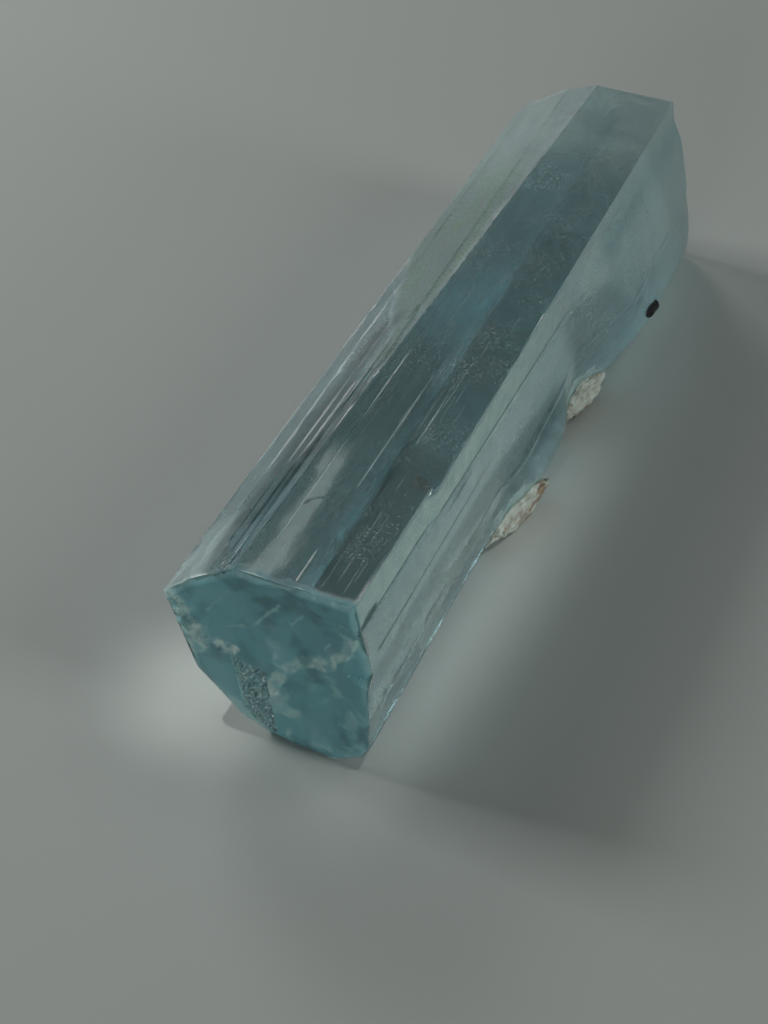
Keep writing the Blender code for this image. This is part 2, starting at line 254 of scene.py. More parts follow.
FAR_PLANE = ((0.0, LENGTH, 0.0), (0.0, 1.0, 0.0))
RIB_PLANES = [
    ((0.0, 0.0, RIB_TOP), (0.0, 0.0, 1.0)),
    ((RIB_ROOT, 0.0, 0.0), (-1.0, 0.0, 0.0)),
    ((0.0, 0.0, RIB_INSET), (0.0, 0.0, -1.0)),
    FAR_PLANE,
]


def rib_planes(faces, ends, beveled=()):
    sides = [face_plane(face) for face in faces] + [bevel_plane(face) for face in beveled]
    return as_planes(sides + [heading_plane(*end) for end in ends] + RIB_PLANES)


SOLIDS = (
    as_planes([*map(face_plane, PRISM_FACES), *map(bevel_plane, PRISM_FACES), FAR_PLANE]),
    rib_planes(FIRST_RIB_FACES, FIRST_RIB_ENDS),
    rib_planes(FAR_RIB_FACES, FAR_RIB_ENDS, FAR_RIB_FACES),
)
FLAT = 1e-12  # slopes below this are taken as none


def ray_span(planes, angle, along):
    """Where rays out from the axis enter and leave a convex body, and by which of its planes they leave."""
    across, up = np.cos(angle), np.sin(angle)
    enter, leave = np.full(angle.shape, -np.inf), np.full(angle.shape, np.inf)
    last = np.zeros(angle.shape, int)
    for number, (nx, ny, nz, distance) in enumerate(planes):
        slope = nx * across + nz * up
        gap = distance - ny * along - nz * AXIS_HEIGHT
        level = np.abs(slope) < FLAT
        at = gap / np.where(level, FLAT, slope)
        leaving, entering = (slope > FLAT) & (at < leave), (slope < -FLAT) & (at > enter)
        leave, last = np.where(leaving, at, leave), np.where(leaving, number, last)
        enter = np.where(entering, at, enter)
        leave = np.where(level & (gap < 0), -np.inf, leave)
    return enter, leave, last


SWELL_ANGLES = (-2.0, 1.3, 0.012)
SWELL_STATION = 0.1
SWELL_SOFTNESS = (0.1, 0.65)  # how far the ribs' edges are worn round, in radians and along the crystal


def blurred(grid, spread, axis):
    """The grid smoothed along one axis with a bell-shaped weight."""
    half = int(3 * spread) + 1
    weights = np.exp(-0.5 * (np.arange(-half, half + 1) / spread) ** 2)
    weights /= weights.sum()
    padded = np.pad(grid, [(half, half) if number == axis else (0, 0) for number in range(2)], mode="edge")
    return np.apply_along_axis(lambda row: np.convolve(row, weights, mode="valid"), axis, padded)


def rib_swelling():
    """How far the ribs stand out past the prism, on a grid of angles and stations."""
    angles = np.arange(*SWELL_ANGLES)
    stations = np.minimum(np.arange(0.0, LENGTH + SWELL_STATION, SWELL_STATION), LENGTH - 1e-6)
    angle, along = np.meshgrid(angles, stations, indexing="ij")
    spans = []
    for planes in SOLIDS:
        enter, leave, _ = ray_span(planes, angle, along)
        spans.append(np.where(enter < leave, leave, 0.0))
    whole = np.maximum.reduce(spans)

    def worn(grid):
        grid = blurred(grid, SWELL_SOFTNESS[0] / SWELL_ANGLES[2], 0)
        return blurred(grid, SWELL_SOFTNESS[1] / SWELL_STATION, 1)

    excess = worn(whole - spans[0])
    rounded = smooth_step(excess, 0.02, 0.3) * smooth_step(-angle, 0.0, 0.15)
    return excess * (1 - rounded) + (worn(whole) - spans[0]) * rounded


SWELLING = rib_swelling()
DOWNWARD = 0.1  # sine of the angle below which rays are held above the ground
WORN_LEAST = 1e-4


def swelling(angle, along):
    u = np.clip((angle - SWELL_ANGLES[0]) / SWELL_ANGLES[2], 0.0, SWELLING.shape[0] - 1.001)
    v = np.clip(along / SWELL_STATION, 0.0, SWELLING.shape[1] - 1.001)
    row, column = u.astype(int), v.astype(int)
    u, v = u - row, v - column
    low = SWELLING[row, column] * (1 - v) + SWELLING[row, column + 1] * v
    high = SWELLING[row + 1, column] * (1 - v) + SWELLING[row + 1, column + 1] * v
    return low * (1 - u) + high * u


def polar(x, z):
    """Angle and distance of points from the crystal's axis."""
    return np.arctan2(z - AXIS_HEIGHT, x), np.hypot(x, z - AXIS_HEIGHT)


def reach(angle, along):
    """How far the crystal's side reaches from its axis, and the number of the prism face there."""
    angle, along = np.broadcast_arrays(np.asarray(angle, float), np.asarray(along, float))
    _, prism, plane = ray_span(SOLIDS[0], angle, along)
    distance = prism + swelling((angle + math.pi) % (2 * math.pi) - math.pi, along)
    down = np.minimum(np.sin(angle), -DOWNWARD)
    above_ground = np.minimum(distance, AXIS_HEIGHT / -down)
    distance = np.where(np.sin(angle) < -DOWNWARD, above_ground, distance)
    worn = worn_depth(angle, along, distance)
    return distance - worn, np.where(worn > WORN_LEAST, RIGHT_UPPER, FACE_NUMBERS[plane])


def worn_depth(angle, along, distance):
    """How much is worn away from the ridge near the fractured end."""
    (x, _, z), (nx, _, nz) = face_plane(WORN_RIDGE_FACE)
    slope = nx * np.cos(angle) + nz * np.sin(angle)
    plane = (nx * x + nz * (z - AXIS_HEIGHT)) / np.maximum(slope, 1e-6)
    depth = np.where(slope > 0.05, np.maximum(distance - plane, 0.0), 0.0)
    return depth * (1 - smooth_step(along, WORN_RIDGE_LENGTH - 0.5, WORN_RIDGE_LENGTH + 0.4))


def nicked(points, directions, distance):
    """Distances along the rays, pulled in where a nick's ball covers the surface."""
    for x, y, z, radius in RIM_PITS + RIDGE_NICKS:
        ball = np.array((x, y, z))
        to_ball = ball - points
        middle = (to_ball * directions).sum(axis=-1)
        half = radius**2 - ((to_ball**2).sum(axis=-1) - middle**2)
        half = np.sqrt(np.maximum(half, 0.0))
        covered = (half > 0) & (middle - half < distance) & (distance <= middle + half)
        distance = np.where(covered, middle - half, distance)
    return distance


# ---------------------------------------------------------------- the fractured end


def scoop_depth(scoop, x, z):
    middle_x, middle_z, rim, depth = scoop
    radius = (rim * rim + depth * depth) / (2 * depth)
    apart = (x - middle_x) ** 2 + (z - middle_z) ** 2
    return depth - radius + np.sqrt(np.maximum(radius**2 - apart, 0.0))


def wedge_depth(pairs, x, z):
    """How deep a wedge that opens at the fractured end reaches, and 0 beside it."""
    low, high = np.full(x.shape, -np.inf), np.full(x.shape, np.inf)
    for nx, ny, nz, distance in as_planes([((px, 0.0, pz), normal) for (px, pz), normal in pairs]):
        gap = distance - nx * x - nz * z
        if ny > 1e-9:
            high = np.minimum(high, gap / ny)
        elif ny < -1e-9:
            low = np.maximum(low, gap / ny)
        else:
            high = np.where(gap < 0, -np.inf, high)
    return np.where((low <= 0.0) & (high > 0.0), high, 0.0)


def ripples(x, z, from_x, from_z, spacing, seed):
    """Shell-like ripples round the point where a break began."""
    apart = np.hypot(x - from_x, z - from_z)
    wobble = 0.6 * soft_noise(seed, x * 0.6, z * 0.6)
    strength = 0.5 + 0.5 * soft_noise(seed + 1, x * 0.9, z * 0.9)
    return np.sin(2 * math.pi * (apart / spacing + wobble)) * strength


def fracture(x, z):
    """Depth of the fractured end, and which part of the break it is."""
    upper = smooth_max([scoop_depth(scoop, x, z) for scoop in UPPER_SCOOPS], 0.05)
    lower = smooth_max([scoop_depth(scoop, x, z) for scoop in LOWER_SCOOPS], 0.03)
    upper = upper + 0.022 * ripples(x, z, 0.4, 9.6, 0.62, 31) * (upper > 0)
    lower = lower + 0.022 * ripples(x, z, 4.4, 0.6, 0.55, 41) * (lower > 0)
    wedges = (SUNK_TRIANGLE, LOWER_LEFT, RIGHT_CORNER, LOWER_RIM)
    parts = [np.zeros(x.shape), upper, lower] + [wedge_depth(wedge, x, z) for wedge in wedges]
    for pit_x, pit_y, pit_z, radius in RIM_PITS:
        inside = radius**2 - (x - pit_x) ** 2 - (z - pit_z) ** 2
        parts.append(np.where(inside > 0, pit_y + np.sqrt(np.maximum(inside, 0.0)), 0.0))
    parts = np.stack(parts)
    return parts.max(axis=0), parts.argmax(axis=0)


SPARKLE = 3  # number of the sunk triangle among the parts of the break


def fracture_surface(x, z):
    """The fractured end with its fine relief."""
    depth, part = fracture(x, z)
    rough = random_facets(5, x / 0.24, z / 0.24) * 0.1 + random_facets(6, x / 0.1, z / 0.1) * 0.022
    depth = depth + np.where(part == SPARKLE, rough, 0.0)
    crushed = crushed_share(x, z)
    grit = random_facets(7, x / 0.22, z / 0.22) * 0.03 + layered_noise(8, x / 0.3, z / 0.3) * 0.04
    depth = depth + crushed * grit
    fine = layered_noise(9, x / 0.4, z / 0.4) * 0.012 + 0.02 * soft_noise(10, x / 1.7, z / 1.7)
    wear = (0.22 + 0.14 * layered_noise(13, x / 0.7, z / 0.7)) * (0.35 + 0.65 * smooth_step(z, 4.0, 7.0))
    depth = depth + wear * (1 - smooth_step(rim_distance(x, z), -0.05, 0.42)) ** 1.5
    return np.maximum(depth + fine, -0.03), part


# The crushed rim: height, and how far across it reaches
CRUSHED_RIM = ((3.6, -3.3), (4.4, -2.3), (5.2, -2.4), (6.0, -2.9), (6.8, -3.4), (7.4, -4.6))


def rim_distance(x, z):
    """How far points of the fractured end lie inside its outline."""
    angle, apart = polar(x, z)
    return reach(angle, 0.0)[0] - apart


def crushed_share(x, z):
    """1 on the crushed left rim of the fractured end, falling to 0 away from it."""
    heights, edges = np.transpose(CRUSHED_RIM)
    off = np.interp(z, heights, edges) - x + 0.25 * layered_noise(12, x / 0.5, z / 0.5)
    return smooth_step(off, -0.15, 0.25) * (z > heights[0])


# ---------------------------------------------------------------- columns and rings of the sides


def base_angles():
    """Column angles spaced evenly along a middle section, and wider along the base."""
    angle = np.linspace(-math.pi, math.pi, 20001)
    distance, face = reach(angle, 10.0)
    x, z = distance * np.cos(angle), distance * np.sin(angle)
    step = np.hypot(np.diff(x), np.diff(z)) / np.where(face[1:] == BASE, BASE_SPACING, COLUMN_SPACING)
    run = np.concatenate([[0.0], np.cumsum(step)])
    count = int(round(run[-1]))
    return np.interp(np.arange(count) * run[-1] / count, run, angle)


def ring_stations():
    stations, y = [], 0.0
    for limit, spacing in RING_SPACINGS:
        count = int(round((limit - y) / spacing))
        stations += list(y + (limit - y) * np.arange(count) / count)
        y = limit
    stations += list(np.linspace(LENGTH - BEVEL_DEPTH, LENGTH, 6))
    return np.array(stations)


def corner_angles(stations):
    """For each ring, the angles where one face of the crystal meets the next."""
    samples = np.linspace(-math.pi, math.pi, ANGLE_SAMPLES, endpoint=False)
    _, face = reach(samples[None, :], stations[:, None])
    ring, column = np.nonzero(face != np.roll(face, -1, axis=1))
    low = samples[column]
    high = low + 2 * math.pi / ANGLE_SAMPLES
    before = face[ring, column]
    for _ in range(22):
        middle = (low + high) / 2
        _, here = reach(middle, stations[ring])
        same = here == before
        low, high = np.where(same, middle, low), np.where(same, high, middle)
    return [np.sort(((low + high) / 2)[ring == number]) for number in range(len(stations))]


def groove_angles(y):
    """Angles of the grooves' bottoms and shoulders at a ring."""
    found = []
    for start, end, width in GROOVES:
        share = (y - start[1]) / (end[1] - start[1])
        if 0.0 <= share <= 1.0:
            x, z = start[0] + (end[0] - start[0]) * share, start[2] + (end[2] - start[2]) * share
            angle = math.atan2(z - AXIS_HEIGHT, x)
            half = 0.6 * width / math.hypot(x, z - AXIS_HEIGHT)
            found += [angle - half, angle, angle + half]
    return found


def snap(angles, wanted):
    """Moves the nearest columns onto the wanted angles and keeps their order. Returns which moved."""
    moved = np.zeros(len(angles), bool)
    for angle in wanted:
        order = np.argsort(np.abs((angles - angle + math.pi) % (2 * math.pi) - math.pi))
        for column in order[:2]:
            if not moved[column]:
                before, after = angles[column - 1], angles[(column + 1) % len(angles)]
                gap_before = (angle - before) % (2 * math.pi)
                gap_after = (after - angle) % (2 * math.pi)
                if gap_before < math.pi and gap_after < math.pi:
                    angles[column] = angle
                    moved[column] = True
                break
    return moved


def columns_of_rings(stations):
    base = base_angles()
    corners = corner_angles(stations)
    angles, corner = [], []
    for y, wanted in zip(stations, corners):
        ring = base.copy()
        marks = snap(ring, wanted)
        extra = [a for a in groove_angles(y) if np.abs(wanted - a).min() > 0.012]
        ring_marks = marks.copy()
        for angle in extra:
            free = np.where(ring_marks, np.inf, np.abs(ring - angle))
            column = int(free.argmin())
            if ring[column - 1] < angle < ring[(column + 1) % len(ring)]:
                ring[column] = angle
                ring_marks[column] = True
        angles.append(ring)
        corner.append(marks)
    return np.array(angles), np.array(corner)


def face_normals(face):
    """Outward normals in the section for face numbers, from the planes that carry them."""
    table = np.zeros((FAR_END + 1, 3))
    table[FACE_NUMBERS] = SOLIDS[0][:, :3]
    return table[face]


# ---------------------------------------------------------------- relief of the sides

FROST_START = 15.5
GROOVE_REACH = 0.8  # points farther than this above or below a groove's line aren't in it
FAR_OFF = 10.0
PIT_COUNT = 260
CROWDED_PITS = 0.8  # share of the pits that lie low on the right side


def groove_relief(points):
    """Depth of the V-shaped grooves of growth, fading at their ends, and the shade painted along them."""
    relief, dark = np.zeros(points.shape[:-1]), np.zeros(points.shape[:-1])
    radial = points[..., (0, 2)] - np.array((0.0, AXIS_HEIGHT))
    from_axis = np.hypot(*np.moveaxis(radial, -1, 0))
    for start, end, width in GROOVES:
        start, end = np.array(start), np.array(end)
        run = end - start
        share = ((points - start) @ run) / (run @ run)
        off = points - (start + share[..., None] * run)
        beyond = np.abs(np.einsum("...i,...i", off[..., (0, 2)], radial)) / from_axis
        off = np.sqrt((np.einsum("...i,...i", off, off) - beyond**2).clip(0.0))
        off += FAR_OFF * (beyond > GROOVE_REACH)
        ends = smooth_step(share, 0.0, 0.04) * (1 - smooth_step(share, 0.8, 1.0))
        depth = (1 - off / (0.6 * width)).clip(0.0) * ends
        relief = np.maximum(relief, 0.48 * width * depth)
        # Painted shade: a dark line along each groove, darkest on the right side
        dark = np.maximum(dark, depth * (0.95 if start[0] > 4.0 else 0.45))
    return relief, dark


def pit_relief(points):
    """Small etched dishes, close together low on the right side and scarce elsewhere."""
    chance = np.random.default_rng(21)
    relief = np.zeros(points.shape[:-1])
    for number in range(PIT_COUNT):
        crowded = number < PIT_COUNT * CROWDED_PITS
        along = chance.uniform(0.2, 13.5) if crowded else chance.uniform(1.0, 38.0)
        up = chance.uniform(1.5, 4.4) if crowded else chance.uniform(0.6, 8.8)
        side = 1.0 if crowded or chance.random() < 0.4 else -1.0
        radius = chance.uniform(0.07, 0.34) if crowded else chance.uniform(0.06, 0.2)
        depth = chance.uniform(0.1, 0.22) * radius
        near = (np.abs(points[..., 1] - along) < radius) & (np.abs(points[..., 2] - up) < radius)
        near &= points[..., 0] * side > 0
        apart = ((points[..., 1] - along) ** 2 + (points[..., 2] - up) ** 2) / radius**2
        relief = np.maximum(relief, np.where(near, depth * (1 - apart).clip(0.0), 0.0))
    return relief


STRIATION_STRENGTH = {TOP: 0.5, RIGHT_UPPER: 0.5, SHOULDER: 0.55, BROW: 0.5, FAR_BROW: 0.6, BASE: 0.2}
STRIATION_HEIGHT = 0.007
SWELL_HEIGHT = 0.014
GRAIN_HEIGHT = 0.02


def by_face(face, values, otherwise):
    """The value that a table gives for each face's number, or otherwise."""
    found = np.full(face.shape, otherwise)
    for number, value in values.items():
        found[face == number] = value
    return found


def side_relief(points, face, normals):
    """How far the sides stand back from their flat faces."""
    across = normals[..., 0] * points[..., 2] - normals[..., 2] * points[..., 0]
    along = points[..., 1]
    seeds = face * 7.3
    lines = soft_noise(51, across / 0.42 + seeds, along / 15.0)
    lines += 0.5 * soft_noise(52, across / 0.2 + seeds, along / 9.0)
    steps = np.round(1.5 * soft_noise(53, across / 1.3 + seeds, along / 11.0)) * 0.5
    relief = STRIATION_HEIGHT * by_face(face, STRIATION_STRENGTH, 1.0) * (lines + steps + 1.5)
    relief += SWELL_HEIGHT * (1 + soft_noise(54, across / 2.6 + seeds, along / 5.0))
    grain = 1 + layered_noise(55, across / 0.3, along / 0.42)
    return relief + frost_share(points, face) * GRAIN_HEIGHT * grain


def frost_share(points, face):
    """Where growth left a finely grained skin: the far half of the upper left faces, and patches."""
    along = points[..., 1]
    patches = layered_noise(61, points[..., 0] / 1.1, along / 2.3)
    far = smooth_step(along + 2.0 * patches, FROST_START - 1.0, FROST_START + 2.5)
    fade = 1 - 0.6 * smooth_step(along, 27.0, 36.0)
    near_rim = 1 - smooth_step(along + 0.8 * patches, 0.3, 2.4)
    left = np.isin(face, UPPER_LEFT) * np.maximum(far * fade * (0.72 + 0.28 * patches), 0.6 * near_rim)
    low = np.isin(face, (RIGHT_LOWER, RIGHT_UPPER)) * smooth_step(4.6 - points[..., 2], 0.0, 0.6)
    low = low * (1 - smooth_step(along, 11.0, 15.0))
    low = low * (0.5 + 0.4 * layered_noise(62, points[..., 2] / 0.6, along / 1.5))
    return np.clip(left + low, 0.0, 1.0)


# ---------------------------------------------------------------- meshing the crystal


def side_points(stations, angles):
    """Rings of points on the sides, the first of them on the rim of the break."""
    along = np.repeat(stations[:, None], angles.shape[1], axis=1)
    first = angles[0]
    distance, _ = reach(first, 0.0)
    rim, _ = fracture_surface(distance * np.cos(first), AXIS_HEIGHT + distance * np.sin(first))
    share = np.clip(along / RIM_BLEND, 0.0, 1.0)
    along = np.where(along < RIM_BLEND, rim + (RIM_BLEND - rim) * share, along)
    distance, face = reach(angles, along)
    directions = np.stack([np.cos(angles), np.zeros(angles.shape), np.sin(angles)], axis=-1)
    origin = np.stack([np.zeros(along.shape), along, np.full(along.shape, AXIS_HEIGHT)], axis=-1)
    flat = origin + directions * distance[..., None]
    worn = nicked(origin, directions, distance)
    return flat, origin + directions * worn[..., None], face


def corner_fade(corner):
    fade = np.where(corner, 0.0, 1.0)
    for shift in (-1, 1):
        fade = np.minimum(fade, np.where(np.roll(corner, shift, axis=1), 0.7, 1.0))
    return fade


def side_faces(flat, angles):
    """Triangles between the rings, each pair split along the diagonal nearer to the true surface."""
    rings, columns = angles.shape
    whole_turn = np.where(np.arange(columns) == columns - 1, 2 * math.pi, 0.0)
    next_angles = np.roll(angles, -1, axis=1) + whole_turn
    middle_angle = (angles[:-1] + next_angles[:-1] + angles[1:] + next_angles[1:]) / 4
    here, beyond = flat[:-1], flat[1:]
    right_here, right_beyond = np.roll(here, -1, axis=1), np.roll(beyond, -1, axis=1)
    middle = (here + beyond + right_here + right_beyond) / 4
    distance, _ = reach(middle_angle, middle[..., 1])
    falling, rising = (here + right_beyond) / 2, (beyond + right_here) / 2

    off_falling, off_rising = (
        np.abs(polar(points[..., 0], points[..., 2])[1] - distance) for points in (falling, rising)
    )
    use_falling = off_falling < off_rising - 1e-6
    index = np.arange(rings * columns).reshape(rings, columns)
    a, b = index[:-1], np.roll(index, -1, axis=1)[:-1]
    c, d = np.roll(index, -1, axis=1)[1:], index[1:]
    falling_pair, rising_pair = (
        np.stack([np.stack(triangle, -1) for triangle in pair], axis=2)
        for pair in (((a, b, c), (a, c, d)), ((a, b, d), (b, c, d)))
    )
    return np.where(use_falling[..., None, None], falling_pair, rising_pair).reshape(-1, 3)


def inside_outline(x, z, outline, margin):
    """True for points at least margin inside a star-shaped outline."""
    turn, radius = polar(outline[:, 0], outline[:, 1])
    order = np.argsort(turn)
    angle, apart = polar(x, z)
    return apart < np.interp(angle, turn[order], radius[order], period=2 * math.pi) - margin


ROW_SHARE = 0.87  # distance between rows of a staggered grid, as a share of its spacing
GRID_STRAY = 0.12
CREASE_OFF = 0.01
CREASE_WALL = 0.03  # drops across a crease that get a pair of points


def staggered_grid(low, high, spacing, seed):
    """Points of a staggered grid, each moved a little at random."""
    chance = np.random.default_rng(seed)
    rows = np.arange(low[1], high[1], spacing * ROW_SHARE)
    columns = np.arange(low[0], high[0], spacing)
    x = columns[None, :] + (np.arange(len(rows)) % 2)[:, None] * spacing / 2
    z = np.repeat(rows[:, None], len(columns), axis=1)
    x = x + chance.uniform(-GRID_STRAY, GRID_STRAY, x.shape) * spacing
    z = z + chance.uniform(-GRID_STRAY, GRID_STRAY, z.shape) * spacing
    return x.ravel(), z.ravel()


def crease_points(outline, spacing):
    """Points on the creases between parts of the break, and in pairs along its walls."""
    low, high = outline.min(axis=0), outline.max(axis=0)
    x, z = np.meshgrid(np.arange(low[0], high[0], spacing), np.arange(low[1], high[1], spacing))
    _, part = fracture(x, z)
    found, taken = [], set()
    for down, over in ((0, 1), (1, 0)):
        first = (slice(0, x.shape[0] - down), slice(0, x.shape[1] - over))
        second = (slice(down, None), slice(over, None))
        rows = part[first] != part[second]
        ax, az, bx, bz = x[first][rows], z[first][rows], x[second][rows], z[second][rows]
        mine = part[first][rows]
        for _ in range(10):
            cx, cz = (ax + bx) / 2, (az + bz) / 2
            same = fracture(cx, cz)[1] == mine
            ax, az = np.where(same, cx, ax), np.where(same, cz, az)
            bx, bz = np.where(same, bx, cx), np.where(same, bz, cz)
        cx, cz = (ax + bx) / 2, (az + bz) / 2
        px, pz = cx - over * CREASE_OFF, cz - down * CREASE_OFF
        qx, qz = cx + over * CREASE_OFF, cz + down * CREASE_OFF
        depth_p, depth_q = fracture_surface(px, pz)[0], fracture_surface(qx, qz)[0]
        for row in range(len(cx)):
            cell = (int(cx[row] // (0.6 * spacing)), int(cz[row] // (0.6 * spacing)))
            if cell in taken:
                continue
            taken.add(cell)
            if abs(depth_p[row] - depth_q[row]) > CREASE_WALL:
                found.append((px[row], pz[row], depth_p[row]))
                found.append((qx[row], qz[row], depth_q[row]))
            else:
                found.append((cx[row], cz[row], (depth_p[row] + depth_q[row]) / 2))
    found = np.array(found)
    return found[inside_outline(found[:, 0], found[:, 1], outline, 0.4 * spacing)]


def away_from(x, z, others, distance):
    """True for points that keep their distance from all the others."""
    tree = KDTree(len(others))
    for number, (other_x, other_z) in enumerate(others):
        tree.insert((other_x, other_z, 0.0), number)
    tree.balance()
    return np.array([tree.find((a, b, 0.0))[2] > distance for a, b in zip(x, z)])


def near_cap_points(outline):
    creases = crease_points(outline, CAP_SPACING)
    low, high = outline.min(axis=0), outline.max(axis=0)
    x, z = staggered_grid(low, high, CAP_SPACING, 71)
    fine_x, fine_z = staggered_grid((-1.9, 0.0), (0.4, 4.7), SPARKLE_SPACING, 72)
    coarse = fracture(x, z)[1] != SPARKLE
    fine = fracture(fine_x, fine_z)[1] == SPARKLE
    x, z = np.concatenate([x[coarse], fine_x[fine]]), np.concatenate([z[coarse], fine_z[fine]])
    keep = inside_outline(x, z, outline, 0.45 * CAP_SPACING)
    x, z = x[keep], z[keep]
    keep = away_from(x, z, creases[:, :2], 0.4 * SPARKLE_SPACING)
    x, z = x[keep], z[keep]
    depth, _ = fracture_surface(x, z)
    return np.vstack([np.stack([x, z, depth], axis=1), creases])


def far_cap_points(outline):
    low, high = outline.min(axis=0), outline.max(axis=0)
    x, z = staggered_grid(low, high, FAR_CAP_SPACING, 73)
    keep = inside_outline(x, z, outline, 0.35 * FAR_CAP_SPACING)
    x, z = x[keep], z[keep]
    steps = soft_noise(75, x / 2.0, z / 2.0) > 0.35
    dip = 0.012 * (1 + layered_noise(74, x / 1.1, z / 1.1)) + 0.02 * steps
    return np.stack([x, z, LENGTH - dip], axis=1)


def fill(outline, inner):
    """Triangles that fill a closed outline through inner points, which are numbered after it."""
    count = len(outline)
    points = [Vector(point) for point in np.vstack([outline[:, :2], inner[:, :2]])]
    edges = [(number, (number + 1) % count) for number in range(count)]
    _, _, faces, sources, _, _ = geometry.delaunay_2d_cdt(points, edges, [], 1, 1e-6, True)
    return [[sources[corner][0] for corner in face] for face in faces]


def crystal_geometry():
    """Points, triangles, face numbers and painted groove shade of the whole crystal, in millimetres."""
    stations = ring_stations()
    angles, corner = columns_of_rings(stations)
    flat, worn, face = side_points(stations, angles)
    normals = face_normals(face)
    relief = side_relief(worn, face, normals) * corner_fade(corner)
    relief[0] *= 0.3
    relief[-1] = 0.0
    groove_depth, groove_shade = groove_relief(worn)
    relief = np.maximum(relief, groove_depth)
    relief = np.maximum(relief, pit_relief(worn) * corner_fade(corner))
    points = worn - normals * relief[..., None]
    points[..., 1] = worn[..., 1]
    rings, columns = angles.shape
    triangles = side_faces(flat, angles)
    everything, faces, cells = [points.reshape(-1, 3)], [face.ravel()], [(triangles, None)]
    inner_start = rings * columns
    caps = ((0, near_cap_points, FRACTURE, -1.0), (-1, far_cap_points, FAR_END, 1.0))
    for ring, cap_points, number, facing in caps:
        outline = points[ring][:, [0, 2]]
        inner = cap_points(outline)
        filled = np.array(fill(outline, inner))
        ring_start = (ring % rings) * columns
        filled = np.where(filled < columns, ring_start + filled, inner_start + filled - columns)
        cells.append((filled, facing))
        everything.append(inner[:, [0, 2, 1]])
        faces.append(np.full(len(inner), number))
        inner_start += len(inner)
    everything, faces = np.vstack(everything), np.concatenate(faces)
    dark = np.concatenate([groove_shade.ravel(), np.zeros(len(everything) - rings * columns)])
    outward = np.vstack([turned_outward(everything, group, facing) for group, facing in cells])
    return everything, outward, faces, dark


def turned_outward(points, cells, facing):
    """A group of triangles turned to face along Y, or away from the axis where facing is None."""
    a, b, c = (points[cells[:, number]] for number in range(3))
    if facing is None:
        away = (a + b + c) / 3 - np.array((0.0, 0.0, AXIS_HEIGHT))
        away[:, 1] = 0.0
    else:
        away = np.array((0.0, facing, 0.0))
    inward = (np.cross(b - a, c - a) * away).sum() < 0
    return cells[:, ::-1] if inward else cells


# ---------------------------------------------------------------- pieces


def add_object(name, data):
    made = bpy.data.objects.new(name, data)
    bpy.context.scene.collection.objects.link(made)
    return made


def mesh_data(mesh, name):
    """The finished mesh of a bmesh."""
    data = bpy.data.meshes.new(name)
    mesh.to_mesh(data)
    mesh.free()
    return data


def add_piece(name, mesh, material, replaced=()):
    """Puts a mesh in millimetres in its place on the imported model."""
    mesh.transform(PLACE)
    piece = add_object(name, mesh)
    mesh.materials.append(material)
    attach(piece, "root")
    if replaced:
        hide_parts(*replaced)
    return piece


def add_share(mesh, name, values):
    """Stores a share from 0 to 1 at each point, for the material to read."""
    layer = mesh.attributes.new(name, "FLOAT", "POINT")
    layer.data.foreach_set("value", np.ascontiguousarray(values, np.float32))


def band_share(x, z, line, half_width, seed):
    """1 on a line of (x, z) points, falling to 0 at half_width from it, with a ragged edge."""
    nearest = np.full(x.shape, np.inf)
    for (ax, az), (bx, bz) in zip(line, line[1:]):
        run = np.array((bx - ax, bz - az))
        share = np.clip(((x - ax) * run[0] + (z - az) * run[1]) / (run @ run), 0.0, 1.0)
        nearest = np.minimum(nearest, np.hypot(x - ax - share * run[0], z - az - share * run[1]))
    ragged = nearest * (1 + 0.6 * layered_noise(seed, x / 0.4, z / 0.4))
    return 1 - smooth_step(ragged, 0.4 * half_width, half_width)


PALE_VEIN = ((0.06, 3.11), (0.79, 4.63), (1.56, 5.32), (2.85, 5.85), (3.8, 7.22))
PALE_FLAKE = ((0.15, 3.15), (0.35, 2.5), (0.85, 2.0))
GREY_STRIP = ((-1.65, 1.75), (-0.9, 1.15), (-0.2, 0.4))
CRUSHED_SPOTS = (
    (-3.05, 5.35, 0.3), (-2.07, 4.8, 0.3), (-1.41, 4.69, 0.26), (-3.8, 6.0, 0.35), (-4.4, 6.75, 0.3),
)
SCRATCHES = (
    ((-2.6, 6.3), (-1.9, 7.3)),
    ((-0.6, 6.2), (0.5, 7.6)),
    ((0.9, 6.6), (1.5, 7.5)),
    ((-1.9, 5.6), (-1.1, 5.9)),
    ((2.55, 6.45), (2.75, 6.7)),
)


